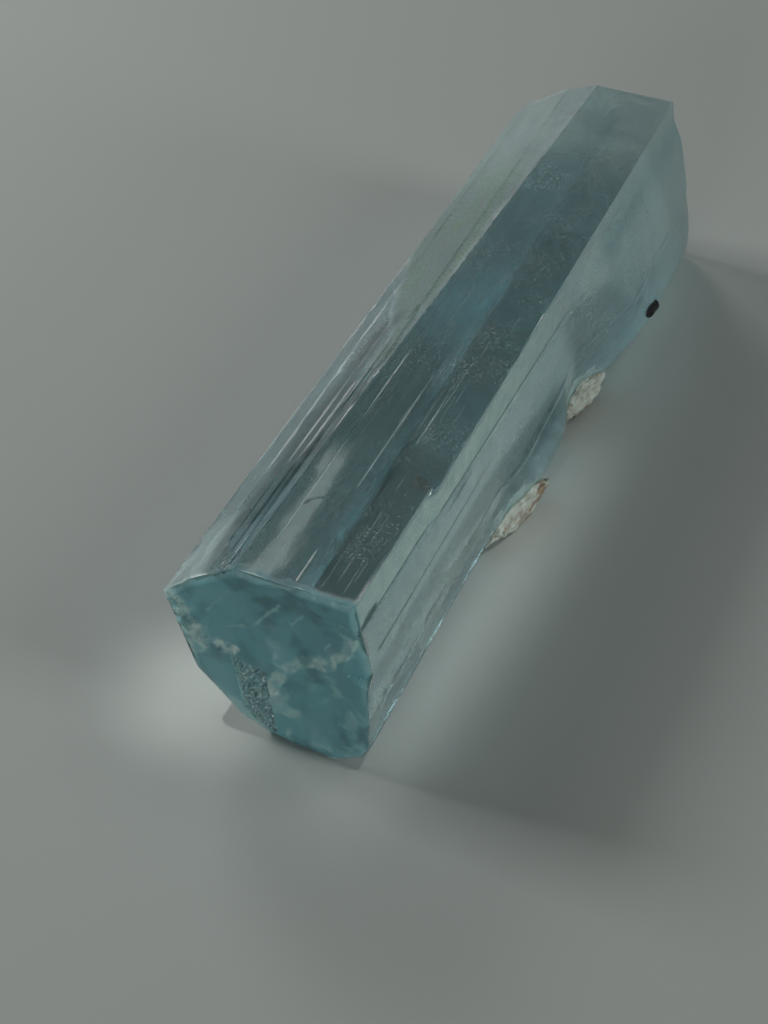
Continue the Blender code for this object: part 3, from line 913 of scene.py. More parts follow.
def break_shares(points):
    """Frost, whiteness, shade, blue-green and moss tint of the fractured end, with painted glints and shade
    on the sunk triangle and a painted highlight along the rim.
    """
    x, z = points[:, 0], points[:, 2]
    _, part = fracture(x, z)
    crushed = crushed_share(x, z)
    patchy = smooth_step(layered_noise(82, x / 0.35, z / 0.35), -0.7, 0.5)
    vein = band_share(x, z, PALE_VEIN, 0.4, 81) * (0.35 + 0.65 * patchy)
    flake = band_share(x, z, PALE_FLAKE, 0.62, 83) * (0.6 + 0.4 * patchy)
    strip = band_share(x, z, GREY_STRIP, 0.42, 84)
    mottle = smooth_step(layered_noise(85, x / 0.6, z / 0.6), 0.1, 0.9)
    mottle = mottle * smooth_step(x, 0.8, 2.6) * (z < 5.4)
    low_rim = smooth_step(layered_noise(86, x / 0.4, z / 0.4), -0.1, 0.6)
    low_rim = low_rim * (1 - smooth_step(z, 0.5, 1.3)) * (x > 0.4)
    spots = np.zeros(x.shape)
    for spot_x, spot_z, radius in CRUSHED_SPOTS:
        apart = np.hypot(x - spot_x, z - spot_z) * (1 + 0.5 * layered_noise(87, x / 0.25, z / 0.25))
        spots = np.maximum(spots, 1 - smooth_step(apart, 0.4 * radius, radius))
    lines = np.zeros(x.shape)
    for number, line in enumerate(SCRATCHES):
        lines = np.maximum(lines, band_share(x, z, line, 0.07, 88 + number))
    # Pale worn lip along the upper rim, partly a painted highlight on its rounded edge
    lip_and_highlight = (1 - smooth_step(rim_distance(x, z), 0.05, 0.42)) * smooth_step(z, 3.0, 5.0)
    pale = (0.3 + 0.65 * patchy) * crushed + 0.85 * vein + 0.6 * flake + 0.6 * strip
    pale = np.clip(pale + 0.45 * mottle + 0.6 * low_rim, 0.0, 1.0)
    pale = np.maximum.reduce([pale, spots, 0.6 * lines, 0.45 * lip_and_highlight])
    sparkle = part == SPARKLE
    # Painted glints: random facets of the sunk triangle whitened; the dull facets between them get painted
    # shade
    painted_glints = smooth_step(random_facets(89, x / 0.17, z / 0.17), 0.25, 0.4)
    dim = smooth_step(random_facets(93, x / 0.17, z / 0.17), 0.1, 0.3) * (1 - painted_glints)
    frost = np.where(sparkle, 0.04, np.maximum(0.6, 0.9 * crushed))
    white = np.where(sparkle, 0.4 + 0.55 * painted_glints, 0.58 + 0.36 * pale)
    tint = np.where(sparkle, 0.85 * (1 - painted_glints), 1 - 0.9 * pale)
    # Darker at random, at the top middle and towards the upper right; on the sunk triangle, the painted
    # shade of its dull facets
    darkening = 0.42 * smooth_step(layered_noise(90, x / 1.1, z / 1.1), -0.2, 1.0)
    top_darkening = np.exp(-(((x + 0.4) / 1.5) ** 2) - ((z - 7.9) / 1.3) ** 2)
    darkening += 0.2 * top_darkening + 0.2 * smooth_step(x + 0.4 * z, 3.0, 5.5)
    darkening = np.where(sparkle, 0.5 * dim, darkening * (1 - pale))
    return frost, white, darkening, tint, 0.0


def strip_share(across, along, line, soft, seed):
    """1 inside a strip through (along, middle, half width) stations, 0 beside it, with a ragged edge."""
    stations, middles, halves = np.transpose(line)
    wander = soft * layered_noise(seed, across / 0.7, along / 2.4)
    off = np.abs(across - np.interp(along, stations, middles) + wander) - np.interp(along, stations, halves)
    ends = smooth_step(along, stations[0] - 0.4, stations[0] + 0.4)
    ends = ends * (1 - smooth_step(along, stations[-1] - 1.6, stations[-1] + 0.4))
    return (1 - smooth_step(off, -soft, soft)) * ends


CRUST_MIDDLES = ((4.5, 16.1, 0.8), (4.36, 24.9, 0.85))

# Strips on the top and upper left faces, across in X: stations along, middle, half width
# Painted shade: a darkened band over the striations of the upper left bevel
SHADED_STRIATIONS = (
    (-1.0, -1.85, 0.42), (5.5, -1.78, 0.46), (7.8, -1.7, 0.38), (10.1, -1.64, 0.26), (13.0, -1.8, 0.15),
)
PALE_STREAK = ((-1.0, 0.05, 0.6), (2.7, -0.2, 0.42), (4.8, -0.3, 0.38), (8.6, -0.5, 0.32))
FROSTED_SKIN = (
    (13.6, -1.35, 0.25), (16.5, -1.5, 0.5), (19.0, -1.9, 1.05),
    (24.0, -2.7, 1.85), (32.0, -2.9, 2.0), (41.0, -3.0, 1.9),
)
# Painted shade on the brow of the upper left faces
SHADED_BROW = ((3.0, -2.4, 0.5), (8.0, -2.45, 0.7), (13.0, -2.5, 0.8), (19.0, -2.4, 0.4))
PALE_NEAR_EDGE = ((-1.0, -3.5, 1.1), (2.2, -3.5, 0.9), (4.5, -3.4, 0.5))
# Painted shade down the middle of the top face
SHADED_TOP_MIDDLE = ((-1.0, -0.4, 2.4), (9.0, -0.5, 2.4), (15.0, -0.2, 1.6), (20.0, 0.3, 1.3), (38.0, 0.4, 1.3))
# Strips on the right faces, across in Z
# Painted reflections: two pale bands of light across the right faces, given as whiteness
FIRST_REFLECTION_BAND = ((-1.0, 8.55, 0.62), (7.6, 8.4, 0.7), (15.0, 8.1, 0.95), (28.0, 7.8, 1.3))
SECOND_REFLECTION_BAND = (
    (-1.0, 6.6, 0.95), (7.2, 6.6, 0.95), (12.2, 6.3, 0.8), (17.3, 5.8, 1.0), (28.0, 5.6, 1.0),
)
# Painted shade: a darker band below the painted reflections
SHADED_BAND = ((-1.0, 4.7, 0.55), (8.6, 4.8, 0.6), (12.0, 4.4, 0.7), (22.0, 3.4, 0.9))
ETCHED_BAND = ((-1.0, 2.4, 1.4), (6.0, 2.6, 1.5), (13.5, 2.9, 1.2))
# Painted shade of groove lines, a pit and a nick: faces up or right, then (across, along) ends and half
# width
SHADE_MARKS = (
    ("right", ((7.95, 0.0), (8.0, 1.7)), 0.17),
    ("right", ((7.2, 8.6), (7.15, 11.0)), 0.09),
    ("top", ((-0.34, 4.6), (-0.1, 4.95), (0.26, 5.18)), 0.11),
    ("top", ((-1.62, 17.6), (-1.55, 18.6)), 0.1),
)


# The plain dullness of the natural faces where it isn't 0.3
SIDE_FROST = {
    TOP: 0.13, RIGHT_UPPER: 0.13, RIGHT_LOWER: 0.16, RIGHT_FOOT: 0.2, BASE: 0.4, LEFT_FOOT: 0.35,
    SHOULDER: 0.32, FAR_BROW: 0.24,
}


def side_shares(points, faces):
    """Frost, whiteness with painted reflections and a painted rim highlight, painted shade, blue-green and
    moss tint of the natural faces.
    """
    x, y, z = points.T
    upper = np.isin(faces, (TOP, *UPPER_LEFT))
    right = np.isin(faces, (RIGHT_UPPER, RIGHT_LOWER, RIGHT_FOOT))
    skin = strip_share(x, y, FROSTED_SKIN, 0.22, 201) * upper * (faces != TOP)
    skin = skin * (1 - 0.65 * smooth_step(y, 27.0, 36.0))
    streak = strip_share(x, y, PALE_STREAK, 0.25, 203) * upper
    near_edge = strip_share(x, y, PALE_NEAR_EDGE, 0.5, 205) * upper
    # Painted shade over the striations of the upper left bevel
    striation_shade = strip_share(x, y, SHADED_STRIATIONS, 0.16, 207) * upper
    # Painted reflections on the right faces
    first = strip_share(z, y, FIRST_REFLECTION_BAND, 0.12, 209) * right
    second = strip_share(z, y, SECOND_REFLECTION_BAND, 0.25, 211) * right
    # Painted shade in a band of the right faces
    band_shade = strip_share(z, y, SHADED_BAND, 0.2, 213) * right
    etched = strip_share(z, y, ETCHED_BAND, 0.4, 215) * right
    # Painted shade on the brow
    dim = strip_share(x, y, SHADED_BROW, 0.3, 227) * upper
    farther = smooth_step(y, 12.0, 24.0)
    blotches = smooth_step(layered_noise(217, x / 0.9 + z / 0.9, y / 2.2), -0.4, 0.9)
    haze = smooth_step(y, 28.0, 38.0)
    lavender = np.exp(-(((x + 0.2) / 0.9) ** 2) - ((y - 34.8) / 2.6) ** 2) * upper
    frost = by_face(faces, SIDE_FROST, 0.3) + 0.12 * smooth_step(y, 14.0, 34.0)
    frost = frost + 0.6 * skin + 0.3 * streak + 0.4 * near_edge + 0.4 * etched * blotches
    frost += 0.12 * second * blotches + 0.2 * haze
    # Milky worn strip of the side faces along the fractured rim, partly a painted highlight on the rounded
    # edge
    broken_edge_and_highlight = 1 - smooth_step(y + 0.15 * layered_noise(223, x / 0.5, z / 0.5), 0.25, 0.6)
    broken_edge_and_highlight = broken_edge_and_highlight * smooth_step(z, 2.0, 5.0)
    fuzz = np.zeros(x.shape)
    for _, crust_y, _ in CRUST_MIDDLES:
        apart = np.hypot((y - crust_y) / 2.9, (z - 0.7) / 1.5) + 0.2 * layered_noise(225, y / 0.5, z / 0.5)
        fuzz = np.maximum(fuzz, (1 - smooth_step(apart, 0.7, 1.1)) * (x > 0))
    # Painted shade low on the right faces, along their middle stretch
    plain = right * smooth_step(5.6 - z, 0.0, 0.8) * smooth_step(y, 8.0, 11.0)
    plain = plain * (1 - smooth_step(y, 20.0, 26.0))
    # Painted shade down the middle of the top face, lighter under the pale streak and farther along
    middle = strip_share(x, y, SHADED_TOP_MIDDLE, 0.4, 219) * upper
    frost = np.maximum(frost, 0.7 * np.maximum(fuzz, broken_edge_and_highlight))
    white = 0.08 + 0.65 * skin * (0.4 + 0.6 * blotches) + 0.55 * streak * (0.5 + 0.5 * blotches)
    white = white + 0.45 * near_edge * (0.4 + 0.6 * blotches)
    bands = (0.62 - 0.42 * farther) * first + (0.2 - 0.12 * farther) * second
    bands = bands + 0.35 * etched * blotches + (0.22 - 0.12 * right) * haze + 0.12 * lavender
    white = np.maximum.reduce([white + bands, 0.55 * broken_edge_and_highlight, 0.7 * fuzz])
    shade = 0.6 * striation_shade * (0.6 + 0.4 * blotches) + 0.42 * band_shade + 0.16 * plain + 0.75 * dim
    middle = (0.5 - 0.28 * farther) * middle * (1 - 0.65 * streak)
    shade = np.maximum.reduce([shade, middle, 0.2 * skin]) * (1 - 0.8 * fuzz)
    # Painted shade of the groove lines, the pit and the nick
    for number, (side, line, half_width) in enumerate(SHADE_MARKS):
        across, where = (z, right) if side == "right" else (x, upper)
        shade = np.maximum(shade, 0.85 * band_share(across, y, line, half_width, 221 + number) * where)
    moss = np.clip(skin + 0.7 * etched - fuzz, 0.0, 1.0)
    teal = broken_edge_and_highlight * smooth_step(x, -2.8, -1.8)
    return np.clip(frost, 0.0, 1.0), np.clip(white, 0.0, 0.95), shade, teal, moss


# ---------------------------------------------------------------- materials


def new_material(name):
    material = bpy.data.materials.new(name)
    material.use_nodes = True
    tree = material.node_tree
    return material, tree, tree.nodes["Principled BSDF"]


def feed(tree, made, inputs):
    """Gives a node its inputs: values, colours, or the sockets that feed them."""
    for key, value in inputs.items():
        socket = made.inputs[key]
        if isinstance(value, bpy.types.NodeSocket):
            tree.links.new(value, socket)
        else:
            socket.default_value = (*value, 1.0) if socket.type == "RGBA" else value


def node(tree, kind, inputs=None, **settings):
    made = tree.nodes.new(kind)
    for key, value in settings.items():
        setattr(made, key, value)
    feed(tree, made, inputs or {})
    return made


def attribute(tree, name):
    return node(tree, "ShaderNodeAttribute", attribute_name=name).outputs["Fac"]


def ramp(tree, value, stops):
    """A colour ramp through (place, colour) stops."""
    made = node(tree, "ShaderNodeValToRGB", {"Fac": value})
    elements = made.color_ramp.elements
    while len(elements) < len(stops):
        elements.new(0.5)
    for element, (place, color) in zip(elements, stops):
        element.position = place
        element.color = (*color, 1.0)
    return made.outputs["Color"]


def fade(tree, value, low, high, least=0.0, most=1.0):
    """A share that goes from least to most while the value goes from low to high."""
    return ramp(tree, value, ((low, (least, least, least)), (high, (most, most, most))))


def arithmetic(tree, operation, first, second=0.0, third=0.0):
    return node(tree, "ShaderNodeMath", {0: first, 1: second, 2: third}, operation=operation).outputs[0]


def noise_pattern(tree, scale, stretch=(1.0, 1.0, 1.0), detail=4.0, roughness=0.5):
    """Noise in the object's own metres. Scale is in cells to the millimetre."""
    coordinates = node(tree, "ShaderNodeTexCoord").outputs["Object"]
    mapping = node(tree, "ShaderNodeMapping", {"Vector": coordinates, "Scale": stretch})
    inputs = {"Vector": mapping.outputs[0], "Scale": scale / MM, "Detail": detail, "Roughness": roughness}
    return node(tree, "ShaderNodeTexNoise", inputs).outputs["Fac"]


def mixed(tree, share, first, second):
    return node(tree, "ShaderNodeMix", {"Factor": share, 6: first, 7: second}, data_type="RGBA").outputs[2]


def bumps(tree, height, strength, distance):
    """The normal of a finely rough skin. The distance is in millimetres."""
    inputs = {"Height": height, "Strength": strength, "Distance": distance * MM}
    return node(tree, "ShaderNodeBump", inputs).outputs[0]


SHARES = ("frost", "white", "shade", "teal", "moss")  # what the crystal's material reads at each point
BERYL_IOR = 1.577
CLEAR = (0.93, 0.98, 0.98)
MILKY = ((0.3, (0.5, 0.74, 0.7)), (0.7, (0.74, 0.95, 0.88)))
MOSSY = (0.26, 0.44, 0.31)
BLUE_GREEN = (0.2, 0.58, 0.63)
# Colour that painted shade darkens the base colour towards
SHADED = (0.05, 0.1, 0.1)
WATER_BLUE = {"Color": (0.5, 0.8, 0.86), "Density": 110.0}


def crystal_material():
    """Clear beryl that turns to milk, moss, grain and painted shade where the shares of its mesh say so;
    the milk also carries painted reflections, glints and highlights.
    """
    material, tree, shader = new_material("aquamarine")
    frost, white, shade, teal, moss = (attribute(tree, name) for name in SHARES)
    grains = noise_pattern(tree, 6.0, detail=6.0, roughness=0.65)
    roughened = arithmetic(tree, "MULTIPLY_ADD", frost, 2.0, -0.35)
    roughened = arithmetic(tree, "SUBTRACT", arithmetic(tree, "MINIMUM", roughened, 1.0), teal)
    roughened = arithmetic(tree, "MAXIMUM", roughened, 0.0)
    granular = mixed(tree, roughened, (1.0, 1.0, 1.0), fade(tree, grains, 0.36, 0.64, 0.25, 1.35))
    specks = arithmetic(
        tree,
        "MULTIPLY",
        fade(tree, noise_pattern(tree, 11.0, detail=1.0), 0.58, 0.66),
        fade(tree, noise_pattern(tree, 0.45, detail=5.0), 0.4, 0.62, 0.0, 0.42),
    )
    specks = arithmetic(tree, "MULTIPLY", specks, arithmetic(tree, "SUBTRACT", 1.0, teal))
    milk = arithmetic(tree, "ADD", arithmetic(tree, "MULTIPLY", white, granular), specks)
    milk = arithmetic(tree, "MINIMUM", milk, 0.95)
    covered = arithmetic(tree, "MINIMUM", arithmetic(tree, "MULTIPLY", milk, 1.6), 1.0)
    color = mixed(tree, moss, ramp(tree, noise_pattern(tree, 1.2), MILKY), MOSSY)
    color = mixed(tree, covered, CLEAR, mixed(tree, teal, color, BLUE_GREEN))
    smudges = arithmetic(tree, "MULTIPLY_ADD", noise_pattern(tree, 0.5, detail=6.0), 0.1, 0.0)
    lines = noise_pattern(tree, 9.0, stretch=(1.0, 0.035, 1.0), detail=3.0)
    height = arithmetic(tree, "MULTIPLY_ADD", lines, 0.35, arithmetic(tree, "MULTIPLY", grains, frost))
    feed(tree, shader, {
        # Painted shade: the shade share darkens the base colour
        "Base Color": mixed(tree, shade, color, SHADED),
        "Transmission Weight": arithmetic(tree, "SUBTRACT", 1.0, milk),
        "Roughness": arithmetic(tree, "MULTIPLY_ADD", frost, 0.62, smudges),
        "Normal": bumps(tree, height, 0.5, 0.025),
        "IOR": BERYL_IOR,
    })
    inside = node(tree, "ShaderNodeVolumeAbsorption", WATER_BLUE)
    feed(tree, tree.nodes["Material Output"], {"Volume": inside.outputs[0]})
    return material


FAR_END_FROST, FAR_END_WHITE = 0.35, 0.12
SHARP_ANGLE = 9.0


def make_crystal():
    points, triangles, faces, dark = crystal_geometry()
    mesh = bpy.data.meshes.new("aquamarine_crystal")
    mesh.from_pydata(points.tolist(), [], triangles.tolist())
    shares = dict(zip(SHARES, side_shares(points, faces)))
    # The grooves' painted shade joins the other painted shade
    shares["shade"] = np.maximum(shares["shade"], dark)
    on_break, far_end = faces == FRACTURE, faces == FAR_END
    for name, values in zip(SHARES, break_shares(points[on_break])):
        shares[name][on_break] = values
    shares["frost"][far_end], shares["white"][far_end] = FAR_END_FROST, FAR_END_WHITE
    for name in SHARES:
        add_share(mesh, name, shares[name])
    mesh.shade_smooth()
    mesh.set_sharp_from_angle(angle=math.radians(SHARP_ANGLE))
    return add_piece("aquamarine_crystal", mesh, crystal_material(), ["aquamarine"])


# ---------------------------------------------------------------- matrix crusts and dark grain

CREAM = ((0.3, (0.5, 0.54, 0.46)), (0.65, (0.76, 0.86, 0.77)))
BROWN = ((0.35, (0.2, 0.13, 0.075)), (0.7, (0.46, 0.34, 0.22)))
# Colour of the painted shade in the crust's holes
HOLE_SHADE = (0.03, 0.025, 0.02)
CRUST_LIFT = 0.03
FLOOR_CLEARANCE = 0.06
# The crusts: half size across, along and up, heading, and seed
CRUSTS = {
    "matrix_crust_near": ((0.42, 2.42, 0.78), -13.0, 3.0),
    "matrix_crust_far": ((0.44, 2.1, 0.86), -15.0, 8.0),
}


def ball_mesh(name, subdivisions):
    mesh = bmesh.new()
    bmesh.ops.create_icosphere(mesh, subdivisions=subdivisions, radius=1.0)
    return mesh_data(mesh, name)


def point_array(mesh):
    flat = np.zeros(len(mesh.vertices) * 3, np.float32)
    mesh.vertices.foreach_get("co", flat)
    return flat.reshape(-1, 3).astype(float)


def set_points(mesh, points):
    mesh.vertices.foreach_set("co", np.ascontiguousarray(points, np.float32).ravel())
    mesh.update()


def crumbly(points, seed):
    """How far crumbly stone stands out at points of the unit ball."""
    values = []
    for x, y, z in points:
        here = Vector((x + seed, y, z))
        coarse = noise.noise(here * 2.1)
        lumps = noise.noise(here * 5.3)
        crumbs = noise.cell(here * 9.0) - 0.5
        grit = noise.noise(here * 23.0)
        values.append(1.0 + 0.2 * coarse + 0.13 * lumps + 0.06 * crumbs + 0.05 * grit)
    return np.array(values)


def clear_of_crystal(points, lift):
    """Points pushed out from the crystal's axis until they lie on or outside its side."""
    x, y, z = points.T
    angle, apart = polar(x, z)
    scale = np.maximum(reach(angle, y)[0] + lift, apart) / apart
    return np.stack([x * scale, y, AXIS_HEIGHT + (z - AXIS_HEIGHT) * scale], axis=1)


def stone_material():
    material, tree, shader = new_material("matrix")
    patches = noise_pattern(tree, 0.55, stretch=(1.0, 0.6, 1.0), detail=6.0, roughness=0.65)
    cream = ramp(tree, noise_pattern(tree, 2.4, detail=8.0), CREAM)
    brown = ramp(tree, noise_pattern(tree, 3.1, detail=6.0), BROWN)
    color = mixed(tree, fade(tree, patches, 0.53, 0.6, 0.0, 0.85), cream, brown)
    # Painted shade: dark spots stand in for shadowed holes in the crust
    hole_shade = fade(tree, noise_pattern(tree, 1.5, detail=3.0), 0.68, 0.72, 0.0, 0.9)
    grit = noise_pattern(tree, 11.0, detail=8.0, roughness=0.7)
    feed(tree, shader, {
        "Base Color": mixed(tree, hole_shade, color, HOLE_SHADE),
        "Roughness": arithmetic(tree, "MULTIPLY_ADD", patches, 0.2, 0.72),
        "Specular IOR Level": 0.3,
        "Normal": bumps(tree, grit, 0.9, 0.05),
    })
    return material


def make_crusts():
    stone = stone_material()
    for middle, (name, (half, heading, seed)) in zip(CRUST_MIDDLES, CRUSTS.items()):
        mesh = ball_mesh(name, 6)
        points = point_array(mesh)
        points = points * crumbly(points, seed)[:, None] * np.array(half)
        turn = math.radians(heading)
        x = points[:, 0] * math.cos(turn) - points[:, 1] * math.sin(turn)
        y = points[:, 0] * math.sin(turn) + points[:, 1] * math.cos(turn)
        points = np.stack([x, y, points[:, 2]], axis=1) + np.array(middle)
        points[:, 2] = np.maximum(points[:, 2], FLOOR_CLEARANCE)
        set_points(mesh, clear_of_crystal(points, CRUST_LIFT))
        mesh.shade_smooth()
        add_piece(f"{name}_stone", mesh, stone, [name])


GRAIN_MIDDLE = Vector((5.68, 32.3, 1.75))
GRAIN_RADIUS = 0.34
GRAIN_LENGTH = 1.25
GRAIN_EDGE = 0.07
GRAIN_WEAR = 0.012
GRAIN_TILT = -12.0
GRAIN_SUBDIVISIONS = 4
DARK_MINERAL = ((0.35, (0.008, 0.01, 0.01)), (0.62, (0.03, 0.034, 0.032)), (0.8, (0.1, 0.095, 0.08)))


def make_grain():
    """A stubby six-sided column with worn edges and a pitted, rubbed skin."""
    mesh = bmesh.new()
    shape = {"segments": 6, "radius1": GRAIN_RADIUS, "radius2": GRAIN_RADIUS, "depth": GRAIN_LENGTH}
    bmesh.ops.create_cone(mesh, cap_ends=True, **shape)
    bmesh.ops.bevel(mesh, geom=mesh.edges[:], offset=GRAIN_EDGE, segments=2, affect="EDGES")
    bmesh.ops.triangulate(mesh, faces=mesh.faces[:])
    for _ in range(GRAIN_SUBDIVISIONS):
        bmesh.ops.subdivide_edges(mesh, edges=mesh.edges[:], cuts=1, use_grid_fill=True)
    for vertex in mesh.verts:
        lumps = 0.02 * noise.noise(vertex.co * 4.0) + GRAIN_WEAR * noise.noise(vertex.co * 13.0)
        vertex.co += vertex.co.normalized() * (lumps - GRAIN_WEAR)
    lying = Matrix.Rotation(math.radians(90.0), 4, "X")
    turned = Matrix.Rotation(math.radians(GRAIN_TILT), 4, "X") @ lying
    mesh.transform(Matrix.Translation(GRAIN_MIDDLE) @ turned)
    data = mesh_data(mesh, "grain")
    data.shade_smooth()
    material, tree, shader = new_material("dark_mineral")
    spots = noise_pattern(tree, 3.5, detail=6.0)
    feed(tree, shader, {
        "Base Color": ramp(tree, spots, DARK_MINERAL),
        "Roughness": arithmetic(tree, "MULTIPLY_ADD", spots, 0.5, 0.2),
        "Normal": bumps(tree, noise_pattern(tree, 14.0, detail=6.0), 0.6, 0.03),
    })
    add_piece("dark_mineral_column", data, material, ["dark_mineral_grain"])


# ---------------------------------------------------------------- what lies inside the crystal

# Hollow growth tubes just under the top face: across, start and end along, depth, radius
GROWTH_TUBES = (
    (1.22, 9.5, 15.7, 0.12, 0.006),
    (0.38, 3.6, 7.4, 0.1, 0.0225),
    (1.26, 0.35, 2.5, 0.06, 0.05625),
    (0.62, 0.5, 3.3, 0.08, 0.03),
    (-0.05, 7.2, 11.6, 0.12, 0.0195),
    (0.95, 3.4, 6.1, 0.09, 0.0195),
    (1.95, 9.8, 13.4, 0.1, 0.018),
    (2.35, 12.2, 15.6, 0.11, 0.015),
    (0.12, 1.2, 2.9, 0.08, 0.021),
    (1.6, 5.6, 7.1, 0.1, 0.0165),
    (-0.4, 13.5, 17.4, 0.15, 0.0165),
    (0.3, 17.5, 20.8, 0.15, 0.018),
)
SMALL_TUBES = 150
TUBE_WHITE = ((0.35, (0.6, 0.72, 0.7)), (0.65, (0.95, 0.97, 0.94)))


ROD_TIP = 0.15  # radius of a rod's ends as a share of the whole


def add_rod(mesh, x, start, end, z, radius):
    """A thin six-sided rod along Y with pointed ends."""
    taper = min(4 * radius, 0.3 * (end - start))
    rings = []
    for y, share in ((start, ROD_TIP), (start + taper, 1.0), (end - taper, 1.0), (end, ROD_TIP)):
        turns = [math.radians(60 * number) for number in range(6)]
        reach_out = radius * share
        rings.append([
            mesh.verts.new((x + reach_out * math.cos(turn), y, z + reach_out * math.sin(turn)))
            for turn in turns
        ])
    for first, second in zip(rings, rings[1:]):
        for number in range(6):
            beyond = (number + 1) % 6
            mesh.faces.new((first[number], first[beyond], second[beyond], second[number]))
    mesh.faces.new(rings[0][::-1])
    mesh.faces.new(rings[-1])


def make_tubes():
    chance = np.random.default_rng(91)
    mesh = bmesh.new()
    for x, start, end, depth, radius in GROWTH_TUBES:
        add_rod(mesh, x, start, end, HEIGHT - depth, radius)
    for _ in range(SMALL_TUBES):
        start = 22.0 * chance.random() ** 1.3 + 0.6
        length = chance.uniform(0.25, 1.8)
        depth = chance.uniform(0.08, 0.9)
        x = chance.uniform(-0.7, 3.2)
        add_rod(mesh, x, start, start + length, HEIGHT - depth, chance.uniform(0.007, 0.018))
    bmesh.ops.recalc_face_normals(mesh, faces=mesh.faces)
    material, tree, shader = new_material("growth_tube")
    feed(tree, shader, {
        "Base Color": ramp(tree, noise_pattern(tree, 2.0), TUBE_WHITE),
        "Roughness": arithmetic(tree, "MULTIPLY_ADD", noise_pattern(tree, 5.0), 0.4, 0.1),
    })
    add_piece("growth_tubes", mesh_data(mesh, "growth_tubes"), material)


def sheet_mesh(name, corners, lines, wobble, seed):
    """A gently uneven sheet inside the crystal between four corners, in order round it."""
    a, b, c, d = (np.array(corner, float) for corner in corners)
    u, v = np.meshgrid(np.linspace(0, 1, lines), np.linspace(0, 1, lines), indexing="ij")
    shares = ((1 - u) * (1 - v), u * (1 - v), u * v, (1 - u) * v)
    flat = sum(corner * share[..., None] for corner, share in zip((a, b, c, d), shares))
    normal = np.cross(c - a, d - b)
    normal = normal / np.linalg.norm(normal)
    bend = wobble * (layered_noise(seed, u * 3, v * 3) + 0.5 * soft_noise(seed + 9, u * 14, v * 14))
    points = (flat + bend[..., None] * normal).reshape(-1, 3)
    index = np.arange(lines**2).reshape(lines, lines)
    quads = np.stack([index[:-1, :-1], index[1:, :-1], index[1:, 1:], index[:-1, 1:]], axis=-1)
    mesh = bpy.data.meshes.new(name)
    mesh.from_pydata(points.tolist(), [], quads.reshape(-1, 4).tolist())
    edge = np.minimum(np.minimum(u, 1 - u), np.minimum(v, 1 - v)).ravel()
    add_share(mesh, "inner", smooth_step(edge, 0.0, 0.25))
    mesh.shade_smooth()
    return mesh


def veil_material(name, color, strongest, scale):
    """A healed crack: a film of tiny bubbles and flakes, thin towards its edge."""
    material, tree, shader = new_material(name)
    darkening = fade(tree, noise_pattern(tree, scale, detail=8.0, roughness=0.7), 0.42, 0.75)
    flecks = fade(tree, noise_pattern(tree, 6 * scale), 0.55, 0.68)
    cover = arithmetic(tree, "MULTIPLY_ADD", flecks, 0.5, darkening)
    cover = arithmetic(tree, "MULTIPLY", cover, attribute(tree, "inner"))
    feed(tree, shader, {
        "Base Color": color,
        "Alpha": arithmetic(tree, "MULTIPLY", cover, strongest),
        "Roughness": arithmetic(tree, "MULTIPLY_ADD", darkening, 0.3, 0.3),
    })
    return material


VEILS = {
    "healed_crack": ((0.35, 8.7, 9.2), (3.85, 7.2, 9.2), (4.1, 11.9, 4.3), (1.1, 12.6, 5.2)),
    "inner_veil": ((-0.9, 6.9, 9.1), (0.7, 8.9, 9.15), (0.9, 11.5, 7.4), (-0.9, 10.5, 7.0)),
    "far_veil": ((-1.0, 24.0, 8.4), (3.2, 27.0, 8.6), (3.6, 34.0, 5.5), (-1.5, 31.0, 5.0)),
}


STAIN = ((2.6, 7.3, 9.22), (3.9, 6.9, 9.22), (3.95, 7.9, 9.0), (2.9, 8.1, 9.15))
VEIL_LINES, STAIN_LINES = 60, 40  # lines of the sheets' meshes each way
VEIL_WOBBLE, STAIN_WOBBLE = 0.12, 0.02


def make_veils():
    pale = veil_material("healed_crack", (0.78, 0.86, 0.82), 0.34, 1.3)
    for seed, (name, corners) in enumerate(VEILS.items()):
        sheet = sheet_mesh(name, corners, VEIL_LINES, VEIL_WOBBLE, 101 + 13 * seed)
        add_piece(name, sheet, pale)
    stain = veil_material("iron_stain", (0.24, 0.17, 0.09), 0.9, 2.6)
    sheet = sheet_mesh("iron_stain", STAIN, STAIN_LINES, STAIN_WOBBLE, 140)
    add_piece("iron_stain", sheet, stain)


# ---------------------------------------------------------------- stage, light and camera


FLOOR_HALF = 1.0
FLOOR_LEVEL = -0.00003  # just under the crystal, in metres
FLOOR_COLOR = (0.5, 0.545, 0.515)
FLOOR_ROUGHNESS = 0.6


def make_floor():
    material, tree, shader = new_material("paper")
    feed(tree, shader, {"Base Color": FLOOR_COLOR, "Roughness": FLOOR_ROUGHNESS})
    mesh = bpy.data.meshes.new("floor")
    turns = ((-1, -1), (1, -1), (1, 1), (-1, 1))
    corners = [(x * FLOOR_HALF, y * FLOOR_HALF, FLOOR_LEVEL) for x, y in turns]
    mesh.from_pydata(corners, [], [(0, 1, 2, 3)])
    mesh.materials.append(material)
    add_object("floor", mesh)


def add_lamp(name, kind, power, place, direction):
    light = bpy.data.lights.new(name, kind)
    light.energy = power
    lamp = add_object(name, light)
    lamp.location = place
    lamp.rotation_euler = direction.to_track_quat("-Z", "Y").to_euler()
    return lamp


def add_beam(name, target, azimuth, half_length, half_width, power):
    """A soft elliptical pool of light on the floor, along the crystal."""
    turn, rise = math.radians(azimuth), math.radians(BEAM_ELEVATION)
    away = Vector((math.cos(rise) * math.cos(turn), math.cos(rise) * math.sin(turn), math.sin(rise)))
    lamp = add_lamp(name, "SPOT", power, Vector(target) * MM + away * BEAM_DISTANCE, -away)
    lamp.scale = (1.0, half_width * math.sin(rise) / half_length, 1.0)
    lamp.data.shadow_soft_size = BEAM_SOURCE
    lamp.data.spot_size = 2 * math.atan(half_length * MM / BEAM_DISTANCE)
    lamp.data.spot_blend = 1.0


